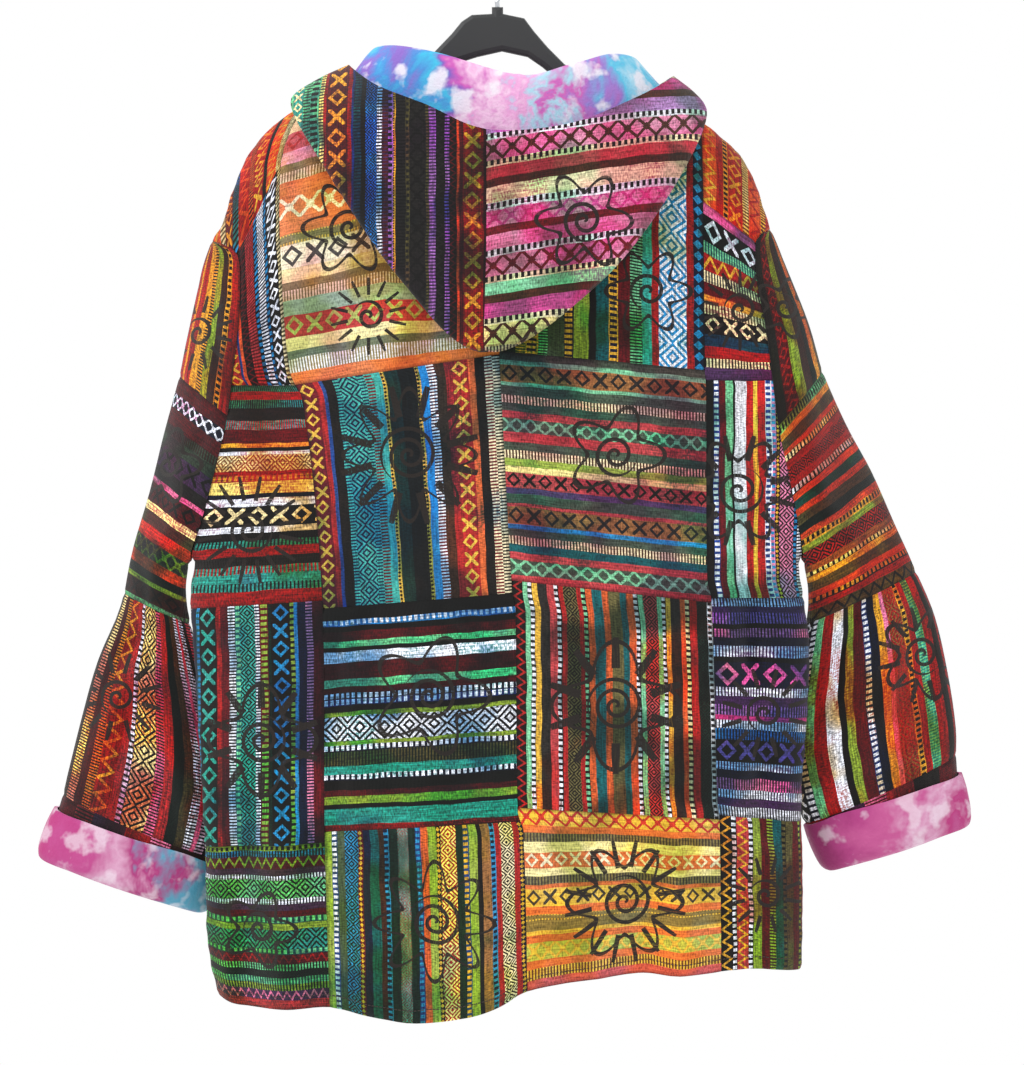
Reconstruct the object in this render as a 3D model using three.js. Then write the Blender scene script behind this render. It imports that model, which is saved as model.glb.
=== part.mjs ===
import * as THREE from "three";
import { mergeVertices } from "three/addons/utils/BufferGeometryUtils.js";

// A patchwork hooded jacket on its hanger. Millimetres, +Z up.
// The jacket's back faces -Y, and the origin is the inside of the hook's crown.

// Driving sizes
const CLOTH = 2.0;             // thickness of the patchwork cloth
const HOOD_SHELL = 1.2;        // thickness of the hood's outer cloth
const HOOD_LINING = 1.2;       // thickness of the hood's fleece
const HOOD_GAP = 1.0;          // between the hood's two layers
const CUFF_FLEECE = 2.4;       // thickness of the rolled fleece at the cuffs
const SEAM_INSET = 0.15;       // each piece stops this far from its seam line
const FOLD_RADIUS = 70;        // in-plane reach of the rounding beside a folded edge
const FOLD_FLAT = 0.4;         // points this close to a folded edge lie on it
const BACK_DEPTH = 30;         // half depth of the back half at the sides
const BACK_SWELL = 14;         // extra depth at the middle of the back
const FRONT_DEPTH = 25;        // half depth of the front half
const SLEEVE_BEHIND = 33;      // how far the sleeves hang behind the middle plane
const SLEEVE_REACH = 95;       // distance from the armhole over which they move back
const ZIP_HALF = 3;            // half width of the zip's chain
const HANGER_HALF = 6;         // half thickness of the hanger
const HANGER_DROP = 5.0;       // the hanger's top under the shoulder fold line
const WIRE = 2;                // radius of the hook's wire

// Folded and sewn edges, as x at height z, for the left and right of the picture
const edges = {
  left: {
    shoulder: [
      { x: -95, z: -122 }, { x: -139, z: -139 }, { x: -187, z: -154 }, { x: -211, z: -172 },
      { x: -226, z: -190 }, { x: -240, z: -220 }, { x: -252, z: -257 }, { x: -260, z: -269 },
    ],
    outer: [
      { x: -260, z: -269 }, { x: -271, z: -299 }, { x: -284, z: -352 }, { x: -292, z: -389 },
      { x: -306, z: -440 }, { x: -319, z: -493 }, { x: -333, z: -541 }, { x: -347, z: -597 },
      { x: -368, z: -647 }, { x: -383, z: -700 }, { x: -402, z: -776 }, { x: -409, z: -797 },
    ],
    armhole: [
      { x: -260, z: -269 }, { x: -247, z: -275 }, { x: -235, z: -283 }, { x: -232, z: -304 },
      { x: -233, z: -343 }, { x: -238, z: -387 }, { x: -243, z: -427 }, { x: -253, z: -471 },
      { x: -266, z: -519 }, { x: -272.7, z: -537 }, { x: -276.6, z: -547.5 }, { x: -279, z: -554 },
    ],
    side: [
      { x: -279, z: -554 }, { x: -275.6, z: -556 }, { x: -276, z: -561 }, { x: -280, z: -590 },
      { x: -277, z: -629 }, { x: -274, z: -678 }, { x: -271, z: -730 }, { x: -268, z: -783 },
      { x: -266, z: -836 }, { x: -264, z: -898 }, { x: -255, z: -942 },
    ],
    inner: [
      { x: -279, z: -554 }, { x: -282.4, z: -556 }, { x: -283, z: -561 }, { x: -286, z: -581 },
      { x: -285, z: -607 }, { x: -279, z: -638 }, { x: -267, z: -678 }, { x: -254, z: -722 },
      { x: -248, z: -766 }, { x: -253, z: -810 }, { x: -265, z: -847 },
    ],
  },
  right: {
    shoulder: [
      { x: 92, z: -128 }, { x: 134, z: -143 }, { x: 178, z: -163 }, { x: 198, z: -180 },
      { x: 213, z: -194 }, { x: 225, z: -217 }, { x: 234, z: -242 }, { x: 239, z: -259 },
    ],
    outer: [
      { x: 239, z: -259 }, { x: 259, z: -304 }, { x: 275, z: -343 }, { x: 288, z: -385 },
      { x: 312, z: -436 }, { x: 334, z: -475 }, { x: 356, z: -524 }, { x: 376, z: -568 },
      { x: 392, z: -607 }, { x: 404, z: -660 }, { x: 411, z: -708 }, { x: 412, z: -746 },
      { x: 415, z: -766 },
    ],
    armhole: [
      { x: 239, z: -259 }, { x: 229, z: -265 }, { x: 224, z: -273 }, { x: 224, z: -304 },
      { x: 231, z: -343 }, { x: 237, z: -387 }, { x: 243, z: -436 }, { x: 253, z: -484 },
      { x: 262, z: -528 }, { x: 264.6, z: -541 }, { x: 266, z: -549 }, { x: 267, z: -554 },
    ],
    side: [
      { x: 267, z: -554 }, { x: 263.6, z: -556 }, { x: 264, z: -561 }, { x: 269, z: -590 },
      { x: 274, z: -629 }, { x: 272, z: -695 }, { x: 267, z: -766 }, { x: 268, z: -827 },
      { x: 268, z: -871 }, { x: 267, z: -920 },
    ],
    inner: [
      { x: 267, z: -554 }, { x: 270.4, z: -556 }, { x: 271, z: -561 }, { x: 275, z: -581 },
      { x: 276, z: -607 }, { x: 272, z: -638 }, { x: 265, z: -678 }, { x: 260, z: -717 },
      { x: 264, z: -757 }, { x: 273, z: -788 }, { x: 284, z: -810 },
    ],
  },
};
const backNeck = [
  { x: -95, z: -122 }, { x: -73, z: -136 }, { x: -42, z: -151 }, { x: 0, z: -160 },
  { x: 41, z: -154 }, { x: 72, z: -141 }, { x: 92, z: -128 },
];
const frontNeck = [
  { x: -95, z: -122 }, { x: -75, z: -150 }, { x: -42, z: -180 }, { x: 0, z: -194 },
  { x: 41, z: -183 }, { x: 75, z: -152 }, { x: 92, z: -128 },
];
const hem = [
  { x: -255, z: -942 }, { x: -236, z: -949 }, { x: -179, z: -949 }, { x: -152, z: -948 },
  { x: -108, z: -957 }, { x: -77, z: -961 }, { x: -29, z: -955 }, { x: -3, z: -946 },
  { x: 19, z: -933 }, { x: 63, z: -924 }, { x: 121, z: -917 }, { x: 156, z: -921 },
  { x: 217, z: -915 }, { x: 267, z: -920 },
];
// Upright seams of the back, between its columns A, B, C and D
const uprights = [
  [{ x: -179, z: -151 }, { x: -196, z: -202 }, { x: -194, z: -326 }, { x: -187, z: -392 },
    { x: -176, z: -414 }, { x: -159, z: -590 }, { x: -157, z: -801 }, { x: -152, z: -960 }],
  [{ x: 0, z: -160 }, { x: -3, z: -374 }, { x: -2, z: -396 }, { x: 8, z: -581 },
    { x: 11, z: -598 }, { x: 13, z: -774 }, { x: 18, z: -792 }, { x: 22, z: -960 }],
  [{ x: 176, z: -162 }, { x: 178, z: -387 }, { x: 179, z: -405 }, { x: 180, z: -572 },
    { x: 184, z: -590 }, { x: 189, z: -766 }, { x: 191, z: -783 }, { x: 193, z: -960 }],
];
// Level seams of the back: height at each column's left and right
const levels = {
  A: [{ l: -283, r: -202 }, { l: -400, r: -400 }, { l: -598, r: -590 }, { l: -810, r: -803 }],
  B: [{ l: -400, r: -374 }, { l: -597, r: -583 }, { l: -794, r: -783 }],
  C: [{ l: -371, r: -387 }, { l: -572, r: -592 }, { l: -771, r: -783 }],
  D: [{ l: -238, r: -273 }, { l: -396, r: -396 }, { l: -588, r: -588 }, { l: -779, r: -788 }],
};
const frontLevels = [{ l: -390, r: -390 }, { l: -590, r: -590 }, { l: -780, r: -780 }];
// Seams round each sleeve: height at its outer fold and at its inner line
const sleeveLevels = {
  left: [{ o: -389, i: -427 }, { o: -585, i: -612 }, { o: -768, i: -827 }],
  right: [{ o: -385, i: -436 }, { o: -566, i: -612 }, { o: -732, i: -794 }],
};
// Largest soft folds of the cloth: a line from one end to the other, its width and height
const bodyFolds = [
  { x0: -222, z0: -215, x1: -204, z1: -395, width: 13, rise: -6 },
  { x0: -232, z0: -815, x1: -230, z1: -945, width: 17, rise: -8 },
  { x0: -192, z0: -800, x1: -190, z1: -950, width: 17, rise: 8 },
  { x0: -147, z0: -630, x1: -146, z1: -790, width: 10, rise: -4 },
  { x0: 28, z0: -800, x1: 85, z1: -915, width: 18, rise: 6 },
  { x0: 222, z0: -385, x1: 204, z1: -470, width: 14, rise: -10 },
  { x0: 204, z0: -470, x1: 222, z1: -640, width: 14, rise: -12 },
  { x0: 222, z0: -640, x1: 232, z1: -790, width: 14, rise: -9 },
  { x0: -60, z0: -560, x1: -66, z1: -760, width: 26, rise: 4 },
  { x0: 110, z0: -400, x1: 120, z1: -560, width: 30, rise: 4 },
];
const sleeveFolds = [
  { x0: -318, z0: -560, x1: -338, z1: -720, width: 16, rise: -5 },
  { x0: -300, z0: -400, x1: -282, z1: -520, width: 15, rise: 5 },
  { x0: 318, z0: -600, x1: 300, z1: -680, width: 16, rise: -6 },
  { x0: 350, z0: -600, x1: 342, z1: -680, width: 15, rise: 6 },
  { x0: 262, z0: -330, x1: 282, z1: -520, width: 15, rise: 5 },
];

// x on a line of points at height z
function xAt(line, z) {
  const falling = line[0].z > line.at(-1).z;
  const rows = falling ? line : [...line].reverse();
  if (z >= rows[0].z) return rows[0].x;
  for (let i = 1; i < rows.length; i++) {
    if (z >= rows[i].z) {
      const t = (rows[i - 1].z - z) / (rows[i - 1].z - rows[i].z);
      return rows[i - 1].x + t * (rows[i].x - rows[i - 1].x);
    }
  }
  return rows.at(-1).x;
}

// z on a line of points at place x
function zAt(line, x) {
  const rows = line[0].x < line.at(-1).x ? line : [...line].reverse();
  if (x <= rows[0].x) return rows[0].z;
  for (let i = 1; i < rows.length; i++) {
    if (x <= rows[i].x) {
      const t = (x - rows[i - 1].x) / (rows[i].x - rows[i - 1].x);
      return rows[i - 1].z + t * (rows[i].z - rows[i - 1].z);
    }
  }
  return rows.at(-1).z;
}

// Signed distance from a line; positive on the side that holds the cloth
function distanceTo(line, x, z, inside) {
  let best = { d: Infinity, s: 1 };
  for (let i = 1; i < line.length; i++) {
    const a = line[i - 1];
    const b = line[i];
    const ex = b.x - a.x;
    const ez = b.z - a.z;
    const t = Math.min(1, Math.max(0, ((x - a.x) * ex + (z - a.z) * ez) / (ex * ex + ez * ez)));
    const d = Math.hypot(x - a.x - t * ex, z - a.z - t * ez);
    if (d < best.d - 1e-9) {
      best = { d, s: Math.sign(ex * (z - a.z) - ez * (x - a.x)) * inside || 1 };
    }
  }
  return best.d < 6 ? best.d * best.s : best.d;
}

const outerFold = {
  left: [...edges.left.shoulder, ...edges.left.outer.slice(1)],
  right: [...edges.right.shoulder, ...edges.right.outer.slice(1)],
};
const smooth = (t) => { const s = Math.min(1, Math.max(0, t)); return s * s * (3 - 2 * s); };
const mix = (a, b, t) => a + (b - a) * t;

// Distance from the nearest folded edge, for the body or for a sleeve
function edgeDistance(part, side, x, z) {
  const sign = side === "left" ? 1 : -1;
  const top = distanceTo(outerFold[side], x, z, sign);
  const low = part === "body"
    ? distanceTo(edges[side].side, x, z, sign)
    : distanceTo(edges[side].inner, x, z, -sign);
  return Math.abs(top) < Math.abs(low) ? top : low;
}

// Height of the hand-placed folds
function foldHeight(folds, x, z) {
  let sum = 0;
  for (const f of folds) {
    const ex = f.x1 - f.x0;
    const ez = f.z1 - f.z0;
    const t = Math.min(1, Math.max(0, ((x - f.x0) * ex + (z - f.z0) * ez) / (ex * ex + ez * ez)));
    const d = Math.hypot(x - f.x0 - t * ex, z - f.z0 - t * ez) / f.width;
    sum += f.rise * Math.exp(-d * d);
  }
  return sum;
}

// Half depth of the garment's hollow at one place, measured from its middle plane
function halfDepth(part, side, face, x, z) {
  const d = Math.max(0, edgeDistance(part, side, x, z) - FOLD_FLAT);
  const t = Math.min(1, d / FOLD_RADIUS);
  const profile = Math.sqrt(1 - (1 - t) * (1 - t));
  const swell = 1 - smooth(Math.abs(x) / 240);
  const depth = face === "back" ? BACK_DEPTH + BACK_SWELL * swell : FRONT_DEPTH;
  const armhole = Math.abs(distanceTo(edges[side].armhole, x, z, 1));
  const folds = part === "body" ? bodyFolds : sleeveFolds;
  const fold = face === "back" ? foldHeight(folds, x, z) * smooth((armhole - 3) / 25) : 0;
  return { half: (depth + fold) * profile, profile };
}

// How far a sleeve hangs behind the middle plane
function sleeveShift(side, x, z) {
  const away = Math.abs(distanceTo(edges[side].armhole, x, z, 1));
  return SLEEVE_BEHIND * smooth(away / SLEEVE_REACH);
}

// A point of the cloth's middle surface and its outward normal
function clothPoint(part, face, x, z, sideName) {
  const side = sideName ?? (x < 0 ? "left" : "right");
  const facing = face === "back" ? -1 : 1;
  const here = halfDepth(part, side, face, x, z);
  const shift = part === "sleeve" ? sleeveShift(side, x, z) : 0;
  const step = 1;
  const slope = (dx, dz) => (edgeDistance(part, side, x + dx, z + dz)
    - edgeDistance(part, side, x - dx, z - dz)) / (2 * step);
  const t = Math.min(1, Math.max(0, edgeDistance(part, side, x, z) - FOLD_FLAT) / FOLD_RADIUS);
  const steep = face === "back" ? BACK_DEPTH : FRONT_DEPTH;
  const rim = steep * (1 - t) / FOLD_RADIUS;
  const folds = part === "body" ? bodyFolds : sleeveFolds;
  const lift = (dx, dz) => (face === "back" ? foldHeight(folds, x + dx, z + dz)
    - foldHeight(folds, x - dx, z - dz) : 0) / (2 * step);
  const normal = new THREE.Vector3(
    -(rim * slope(step, 0) + here.profile * lift(step, 0)),
    facing * here.profile,
    -(rim * slope(0, step) + here.profile * lift(0, step)),
  ).normalize();
  return { point: new THREE.Vector3(x, facing * here.half + shift, z), normal };
}

// One closed wall from a grid of middle points and normals, between two offsets
function wallGeometry(grid, inside, outside, inset = SEAM_INSET) {
  const rows = grid.length;
  const cols = grid[0].length;
  const points = grid.map((row) => row.map((cell) => cell.point.clone()));
  const move = (p, q) => {
    const way = q.clone().sub(p);
    const length = way.length();
    return length > 1e-6 ? p.clone().addScaledVector(way, Math.min(0.4, inset / length)) : p.clone();
  };
  const pole = (row) => row.every((p) => p.distanceTo(row[0]) < 0.01);
  const topPole = pole(points[0]);
  for (let j = topPole ? 1 : 0; j < rows; j++) {
    points[j][0] = move(points[j][0], points[j][1]);
    points[j][cols - 1] = move(points[j][cols - 1], points[j][cols - 2]);
  }
  const middle = Math.floor(cols / 2);
  for (let i = 0; i < cols; i++) {
    if (topPole) points[0][i] = points[0][i].clone().lerp(points[1][middle], 0.12);
    else points[0][i] = move(points[0][i], points[1][i]);
    points[rows - 1][i] = move(points[rows - 1][i], points[rows - 2][i]);
  }
  const positions = [];
  for (const offset of [outside, inside]) {
    for (let j = 0; j < rows; j++) {
      for (let i = 0; i < cols; i++) {
        const normal = topPole && j === 0 ? grid[0][middle].normal : grid[j][i].normal;
        const p = points[j][i].clone().addScaledVector(normal, offset);
        positions.push(p.x, p.y, p.z);
      }
    }
  }
  const index = [];
  const at = (skin, j, i) => skin * rows * cols + j * cols + i;
  const quad = (a, b, c, d) => index.push(a, b, c, a, c, d);
  for (let j = 0; j < rows - 1; j++) {
    for (let i = 0; i < cols - 1; i++) {
      quad(at(0, j, i), at(0, j + 1, i), at(0, j + 1, i + 1), at(0, j, i + 1));
      quad(at(1, j, i), at(1, j, i + 1), at(1, j + 1, i + 1), at(1, j + 1, i));
    }
    quad(at(0, j, 0), at(1, j, 0), at(1, j + 1, 0), at(0, j + 1, 0));
    quad(at(0, j, cols - 1), at(0, j + 1, cols - 1), at(1, j + 1, cols - 1), at(1, j, cols - 1));
  }
  for (let i = 0; i < cols - 1; i++) {
    quad(at(0, 0, i), at(0, 0, i + 1), at(1, 0, i + 1), at(1, 0, i));
    quad(at(0, rows - 1, i), at(1, rows - 1, i), at(1, rows - 1, i + 1), at(0, rows - 1, i + 1));
  }
  return closedGeometry(positions, index);
}

// Merges shared vertices, drops empty triangles and turns the faces outward
function closedGeometry(positions, index) {
  let geometry = new THREE.BufferGeometry();
  geometry.setAttribute("position", new THREE.Float32BufferAttribute(positions, 3));
  geometry.setIndex(index);
  geometry = mergeVertices(geometry, 1e-3);
  const p = geometry.getAttribute("position");
  const ids = geometry.getIndex().array;
  const kept = [];
  let volume = 0;
  const corner = [new THREE.Vector3(), new THREE.Vector3(), new THREE.Vector3()];
  for (let k = 0; k < ids.length; k += 3) {
    const [a, b, c] = [ids[k], ids[k + 1], ids[k + 2]];
    if (a === b || b === c || c === a) continue;
    kept.push(a, b, c);
    [a, b, c].forEach((id, n) => corner[n].fromBufferAttribute(p, id));
    volume += corner[0].dot(corner[1].clone().cross(corner[2])) / 6;
  }
  if (volume < 0) {
    for (let k = 0; k < kept.length; k += 3) [kept[k + 1], kept[k + 2]] = [kept[k + 2], kept[k + 1]];
  }
  geometry.setIndex(kept);
  return geometry;
}

const jacket = new THREE.Group();
const colours = {
  red: 0x9a2f38, gold: 0xd8b45a, teal: 0x2f7a78, green: 0x4a6a3a, maroon: 0x6e2430, navy: 0x2c3a5c,
  khaki: 0x7a734e, orange: 0xc8693c, pink: 0xd05fa0, purple: 0x6b4a86, sky: 0x6db4cf, black: 0x1a1a1c,
  steel: 0xb9bcc0,
};
function add(name, geometry, colour, rough = 0.9, metal = 0) {
  const material = new THREE.MeshStandardMaterial({
    color: colours[colour], roughness: rough, metalness: metal,
  });
  const mesh = new THREE.Mesh(geometry, material);
  mesh.name = name;
  jacket.add(mesh);
  return mesh;
}

// Places along a piece; a power above 1 crowds them towards its start
function spread(count, power = 1) {
  return Array.from({ length: count + 1 }, (_, i) => (i / count) ** power);
}

// Rows under a shoulder fold, as distances from it
const FOLD_STEPS = [1.5, 6, 16, 36];

// Heights that every piece beside the armhole shares, so that their seams agree
function sharedHeights(side) {
  const own = edges[side].armhole.map((p) => p.z);
  const below = edges[side].side.slice(1, 4).map((p) => p.z);
  const rows = [...sleeveLevels[side].map((row) => row.i), ...levels[side === "left" ? "A" : "D"].map(
    (row) => (side === "left" ? row.l : row.r)), -390, -590, -780];
  return [...own, ...below, ...rows].sort((a, b) => b - a);
}

// Fractions down a piece: its seams' bends, near rows under a shoulder fold, and even ones in
// the gaps
function fractions(count, bends, foldLength = 0) {
  const fixed = [0, 1];
  for (const bend of bends) {
    for (const z of bend.heights) {
      const t = (z - bend.from) / (bend.to - bend.from);
      if (t > 0.004 && t < 0.996) fixed.push(t);
    }
  }
  if (foldLength) fixed.push(...FOLD_STEPS.map((d) => d / foldLength).filter((t) => t < 0.9));
  const even = spread(count).filter((t) => fixed.every((f) => Math.abs(f - t) > 0.55 / count));
  const list = [...fixed, ...even].sort((a, b) => a - b);
  return list.filter((t, i) => i === 0 || t - list[i - 1] > 0.003);
}

// The body's left and right boundary at height z: shoulder, armhole, then side fold
function bodyEdge(side, z) {
  const e = edges[side];
  if (z > e.shoulder.at(-1).z) return xAt(e.shoulder.slice(3), z);
  if (z > e.armhole.at(-1).z) return xAt(e.armhole, z);
  return xAt(e.side, z);
}
const shoulderEnd = { left: edges.left.shoulder[3], right: edges.right.shoulder[4] };
const topLine = (neck) => [
  ...[...edges.left.shoulder.slice(0, 4)].reverse(), ...neck.slice(1, -1), ...edges.right.shoulder.slice(0, 5),
];

// A patch of the body between two uprights and two levels
function bodyPatch(name, face, colour, leftLine, rightLine, top, bottom, options) {
  const { across, down, foldLength = 0, side = null } = options;
  const ends = { l0: top.l, r0: top.r, l1: bottom.l, r1: bottom.r };
  const heights = (line) => (line ?? []).map((p) => p.z);
  const own = side ? sharedHeights(side) : [];
  const bends = [
    { heights: side === "left" ? own : heights(options.leftBends), from: ends.l0, to: ends.l1 },
    { heights: side === "right" ? own : heights(options.rightBends), from: ends.r0, to: ends.r1 },
  ];
  if (side === "left") bends[1].heights = heights(options.rightBends);
  const tops = fractions(down, bends, foldLength);
  const grid = tops.map((t) => across.map((s) => {
    const upper = top.line ? null : mix(ends.l0, ends.r0, s);
    const lower = bottom.line ? null : mix(ends.l1, ends.r1, s);
    const guess = mix(leftLine(ends.l0), rightLine(ends.r0), s);
    const z0 = upper ?? zAt(top.line, guess);
    const low = bottom.line ? mix(leftLine(ends.l1), rightLine(ends.r1), s) : 0;
    const z1 = lower ?? zAt(bottom.line, low);
    const z = mix(z0, z1, t);
    const zl = mix(ends.l0, ends.l1, t);
    const zr = mix(ends.r0, ends.r1, t);
    const x = mix(leftLine(zl), rightLine(zr), s);
    return clothPoint("body", face, x, z);
  }));
  add(name, wallGeometry(grid, -CLOTH / 2, CLOTH / 2), colour);
}

const leftEdge = (z) => bodyEdge("left", z);
const rightEdge = (z) => bodyEdge("right", z);
const upright = uprights.map((line) => (z) => xAt(line, z));
const columns = [
  { name: "A", from: leftEdge, to: upright[0], side: "left", foldLength: 50, across: spread(7, 1.8) },
  { name: "B", from: upright[0], to: upright[1], foldLength: 249, across: [0, 0.22, 0.469, 0.592, 0.765, 1] },
  { name: "C", from: upright[1], to: upright[2], foldLength: 225, across: [0, 0.233, 0.409, 0.523, 0.76, 1] },
  { name: "D", from: upright[2], to: rightEdge, side: "right", foldLength: 76,
    across: [0, 0.2, 0.36, 0.52, 0.68, 0.84, 0.96, 1] },
];
const patchColours = {
  A: ["orange", "maroon", "teal", "red", "navy"], B: ["gold", "teal", "maroon", "green"],
  C: ["green", "khaki", "red", "gold"], D: ["orange", "red", "maroon", "purple", "khaki"],
};
function buildBack() {
  const top = topLine(backNeck);
  for (const [index, column] of columns.entries()) {
    const own = levels[column.name];
    const fromX = column.side === "left" ? shoulderEnd.left.x : column.from(-155);
    const toX = column.side === "right" ? shoulderEnd.right.x : column.to(-155);
    const first = { line: top, l: zAt(top, fromX), r: zAt(top, toX) };
    const last = { line: hem, l: zAt(hem, column.from(-950)), r: zAt(hem, column.to(-950)) };
    const seams = [first, ...own, last];
    for (let k = 0; k < seams.length - 1; k++) {
      const down = k === 0 && own.length === 4 ? 3 : 5;
      bodyPatch(`back_${column.name}${k + 1}`, "back", patchColours[column.name][k], column.from, column.to,
        seams[k], seams[k + 1], {
          across: column.across, down, foldLength: k === 0 ? column.foldLength : 0, side: column.side,
          leftBends: uprights[index - 1], rightBends: uprights[index],
        });
    }
  }
}

const zipLeft = () => -ZIP_HALF - SEAM_INSET;
const zipRight = () => ZIP_HALF + SEAM_INSET;
function buildFronts() {
  const top = topLine(frontNeck);
  const halves = [
    { name: "left", from: leftEdge, to: zipLeft, side: "left",
      across: [0, 0.02, 0.08, 0.2, 0.36, 0.558, 0.654, 0.81, 1] },
    { name: "right", from: zipRight, to: rightEdge, side: "right",
      across: [0, 0.18, 0.342, 0.423, 0.64, 0.8, 0.92, 0.98, 1] },
  ];
  const tones = ["teal", "maroon", "khaki", "purple"];
  for (const half of halves) {
    const fromX = half.side === "left" ? shoulderEnd.left.x : half.from();
    const toX = half.side === "right" ? shoulderEnd.right.x : half.to();
    const first = { line: top, l: zAt(top, fromX), r: zAt(top, toX) };
    const last = { line: hem, l: zAt(hem, half.from(-950)), r: zAt(hem, half.to(-950)) };
    const seams = [first, ...frontLevels, last];
    for (let k = 0; k < seams.length - 1; k++) {
      bodyPatch(`front_${half.name}_${k + 1}`, "front", tones[k], half.from, half.to, seams[k], seams[k + 1],
        { across: half.across, down: k === 0 ? 5 : 4, foldLength: k === 0 ? 238 : 0, side: half.side });
    }
  }
}

// The sleeve's second boundary at height z: the armhole seam, then the inner fold
function sleeveEdge(side, z) {
  const e = edges[side];
  const low = e.armhole.at(-1).z;
  if (z < low) return xAt(e.inner, z);
  const clear = 0.2 + 1.0 * (1 - smooth((z - low) / 40));
  const started = Math.min(1, (e.armhole[0].z - z) / 12);
  return xAt(e.armhole, z) + (side === "left" ? -clear : clear) * started;
}
const SLEEVE_ACROSS = [0, 0.025, 0.12, 0.33, 0.6, 0.86, 0.975, 1];
function buildSleeve(side, tones) {
  const e = edges[side];
  const start = { o: e.outer[0].z, i: e.armhole[0].z };
  const end = { o: e.outer.at(-1).z, i: e.inner.at(-1).z };
  const seams = [start, ...sleeveLevels[side], end];
  const across = SLEEVE_ACROSS;
  for (let k = 0; k < seams.length - 1; k++) {
    const [a, b] = [seams[k], seams[k + 1]];
    const shared = [{ heights: sharedHeights(side), from: a.i, to: b.i }];
    const downs = fractions(k === 3 ? 2 : 4, shared);
    for (const face of ["back", "front"]) {
      const grid = downs.map((t) => across.map((s) => {
        const zo = mix(a.o, b.o, t);
        const zi = mix(a.i, b.i, t);
        const x = mix(xAt(e.outer, zo), sleeveEdge(side, zi), s);
        return clothPoint("sleeve", face, x, mix(zo, zi, s), side);
      }));
      add(`sleeve_${side}_${face}_${k + 1}`, wallGeometry(grid, -CLOTH / 2, CLOTH / 2), tones[k]);
    }
  }
}

// The hood lies turned back. Each station round the neck has its top fold, the middle of the
// far layer, the lowest point of the pouch and the free rim; fold is how far it is folded over
const hoodStations = [
  { neck: "front", nx: -3, lift: 4, top: [-4, 27, -183], far: [-7, 30, -171], low: [-10, 32, -160],
    near: [-14, 33, -153], rim: [-17, 34, -146], fold: 0, radius: 5 },
  { neck: "front", nx: -55, lift: 4, top: [-74, 38, -130], far: [-104, 48, -137], low: [-120, 52, -160],
    near: [-114, 62, -146], rim: [-102, 58, -130], fold: 0.5, radius: 6 },
  { neck: "back", nx: -95, lift: 9, top: [-112, -3, -106], far: [-146, -5, -136], low: [-185, -11, -145],
    near: [-160, -16, -127], rim: [-136, -14, -116], fold: 1, radius: 5 },
  { neck: "back", nx: -72, lift: 4, top: [-98, -38, -105], far: [-133, -46, -170], low: [-155, -56, -209],
    near: [-136, -72, -174], rim: [-110, -68, -143], fold: 1, radius: 7 },
  { neck: "back", nx: -38, lift: 4, top: [-55, -52, -116], far: [-73, -55, -229], low: [-86, -63, -310],
    near: [-76, -84, -236], rim: [-66, -86, -163], fold: 1, radius: 8.5 },
  { neck: "back", nx: 0, lift: 4, top: [11, -54, -136], far: [-3, -57, -255], low: [-14, -67, -370],
    near: [-14, -87, -277], rim: [-14, -90, -185], fold: 1, radius: 8.5 },
  { neck: "back", nx: 38, lift: 4, top: [55, -52, -126], far: [72, -55, -229], low: [80, -63, -313],
    near: [67, -84, -246], rim: [55, -86, -180], fold: 1, radius: 8.5 },
  { neck: "back", nx: 71, lift: 4, top: [95, -38, -112], far: [122, -46, -176], low: [145, -56, -232],
    near: [131, -72, -191], rim: [115, -68, -154], fold: 1, radius: 7 },
  { neck: "back", nx: 92, lift: 5, top: [117, -3, -113], far: [147, -6, -139], low: [178, -14, -154],
    near: [164, -19, -137], rim: [150, -15, -126], fold: 1, radius: 5 },
  { neck: "front", nx: 55, lift: 4, top: [72, 38, -135], far: [100, 48, -144], low: [116, 52, -168],
    near: [110, 62, -152], rim: [98, 58, -137], fold: 0.5, radius: 6 },
];
const hoodRows = [0, 1, 1.5, 2, 2.5, 3, 3.5, 4, 4.6, 5, 5.5, 6, 6.5, 7, 7.5, 8.2, 9];
const vector = (a) => new THREE.Vector3(...a);

function hoodKeys(station) {
  const line = station.neck === "front" ? frontNeck : backNeck;
  const nz = zAt(line, station.nx);
  const seam = clothPoint("body", station.neck, station.nx, nz).point.add(new THREE.Vector3(0, 0, station.lift));
  const [top, far, low, near, rim] = ["top", "far", "low", "near", "rim"].map((k) => vector(station[k]));
  const bend = (tip, before, after) => {
    const back = before.clone().lerp(after, 0.5).sub(tip).normalize();
    const across = after.clone().sub(before);
    across.addScaledVector(back, -across.dot(back)).normalize();
    const side = (sign) => tip.clone().addScaledVector(back, station.radius)
      .addScaledVector(across, sign * station.radius);
    return [side(-1), side(1)];
  };
  const folded = [bend(top, seam, far), bend(low, far, near)];
  const straight = [[seam.clone().lerp(top, 0.6), top.clone().lerp(far, 0.4)],
    [far.clone().lerp(low, 0.6), low.clone().lerp(near, 0.4)]];
  const [[t1, t2], [l1, l2]] = straight.map((pair, k) => pair.map(
    (p, n) => p.lerp(folded[k][n], station.fold)));
  return [seam, t1, top, t2, far, l1, low, l2, near, rim];
}
const hoodTable = hoodStations.map(hoodKeys);

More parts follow.
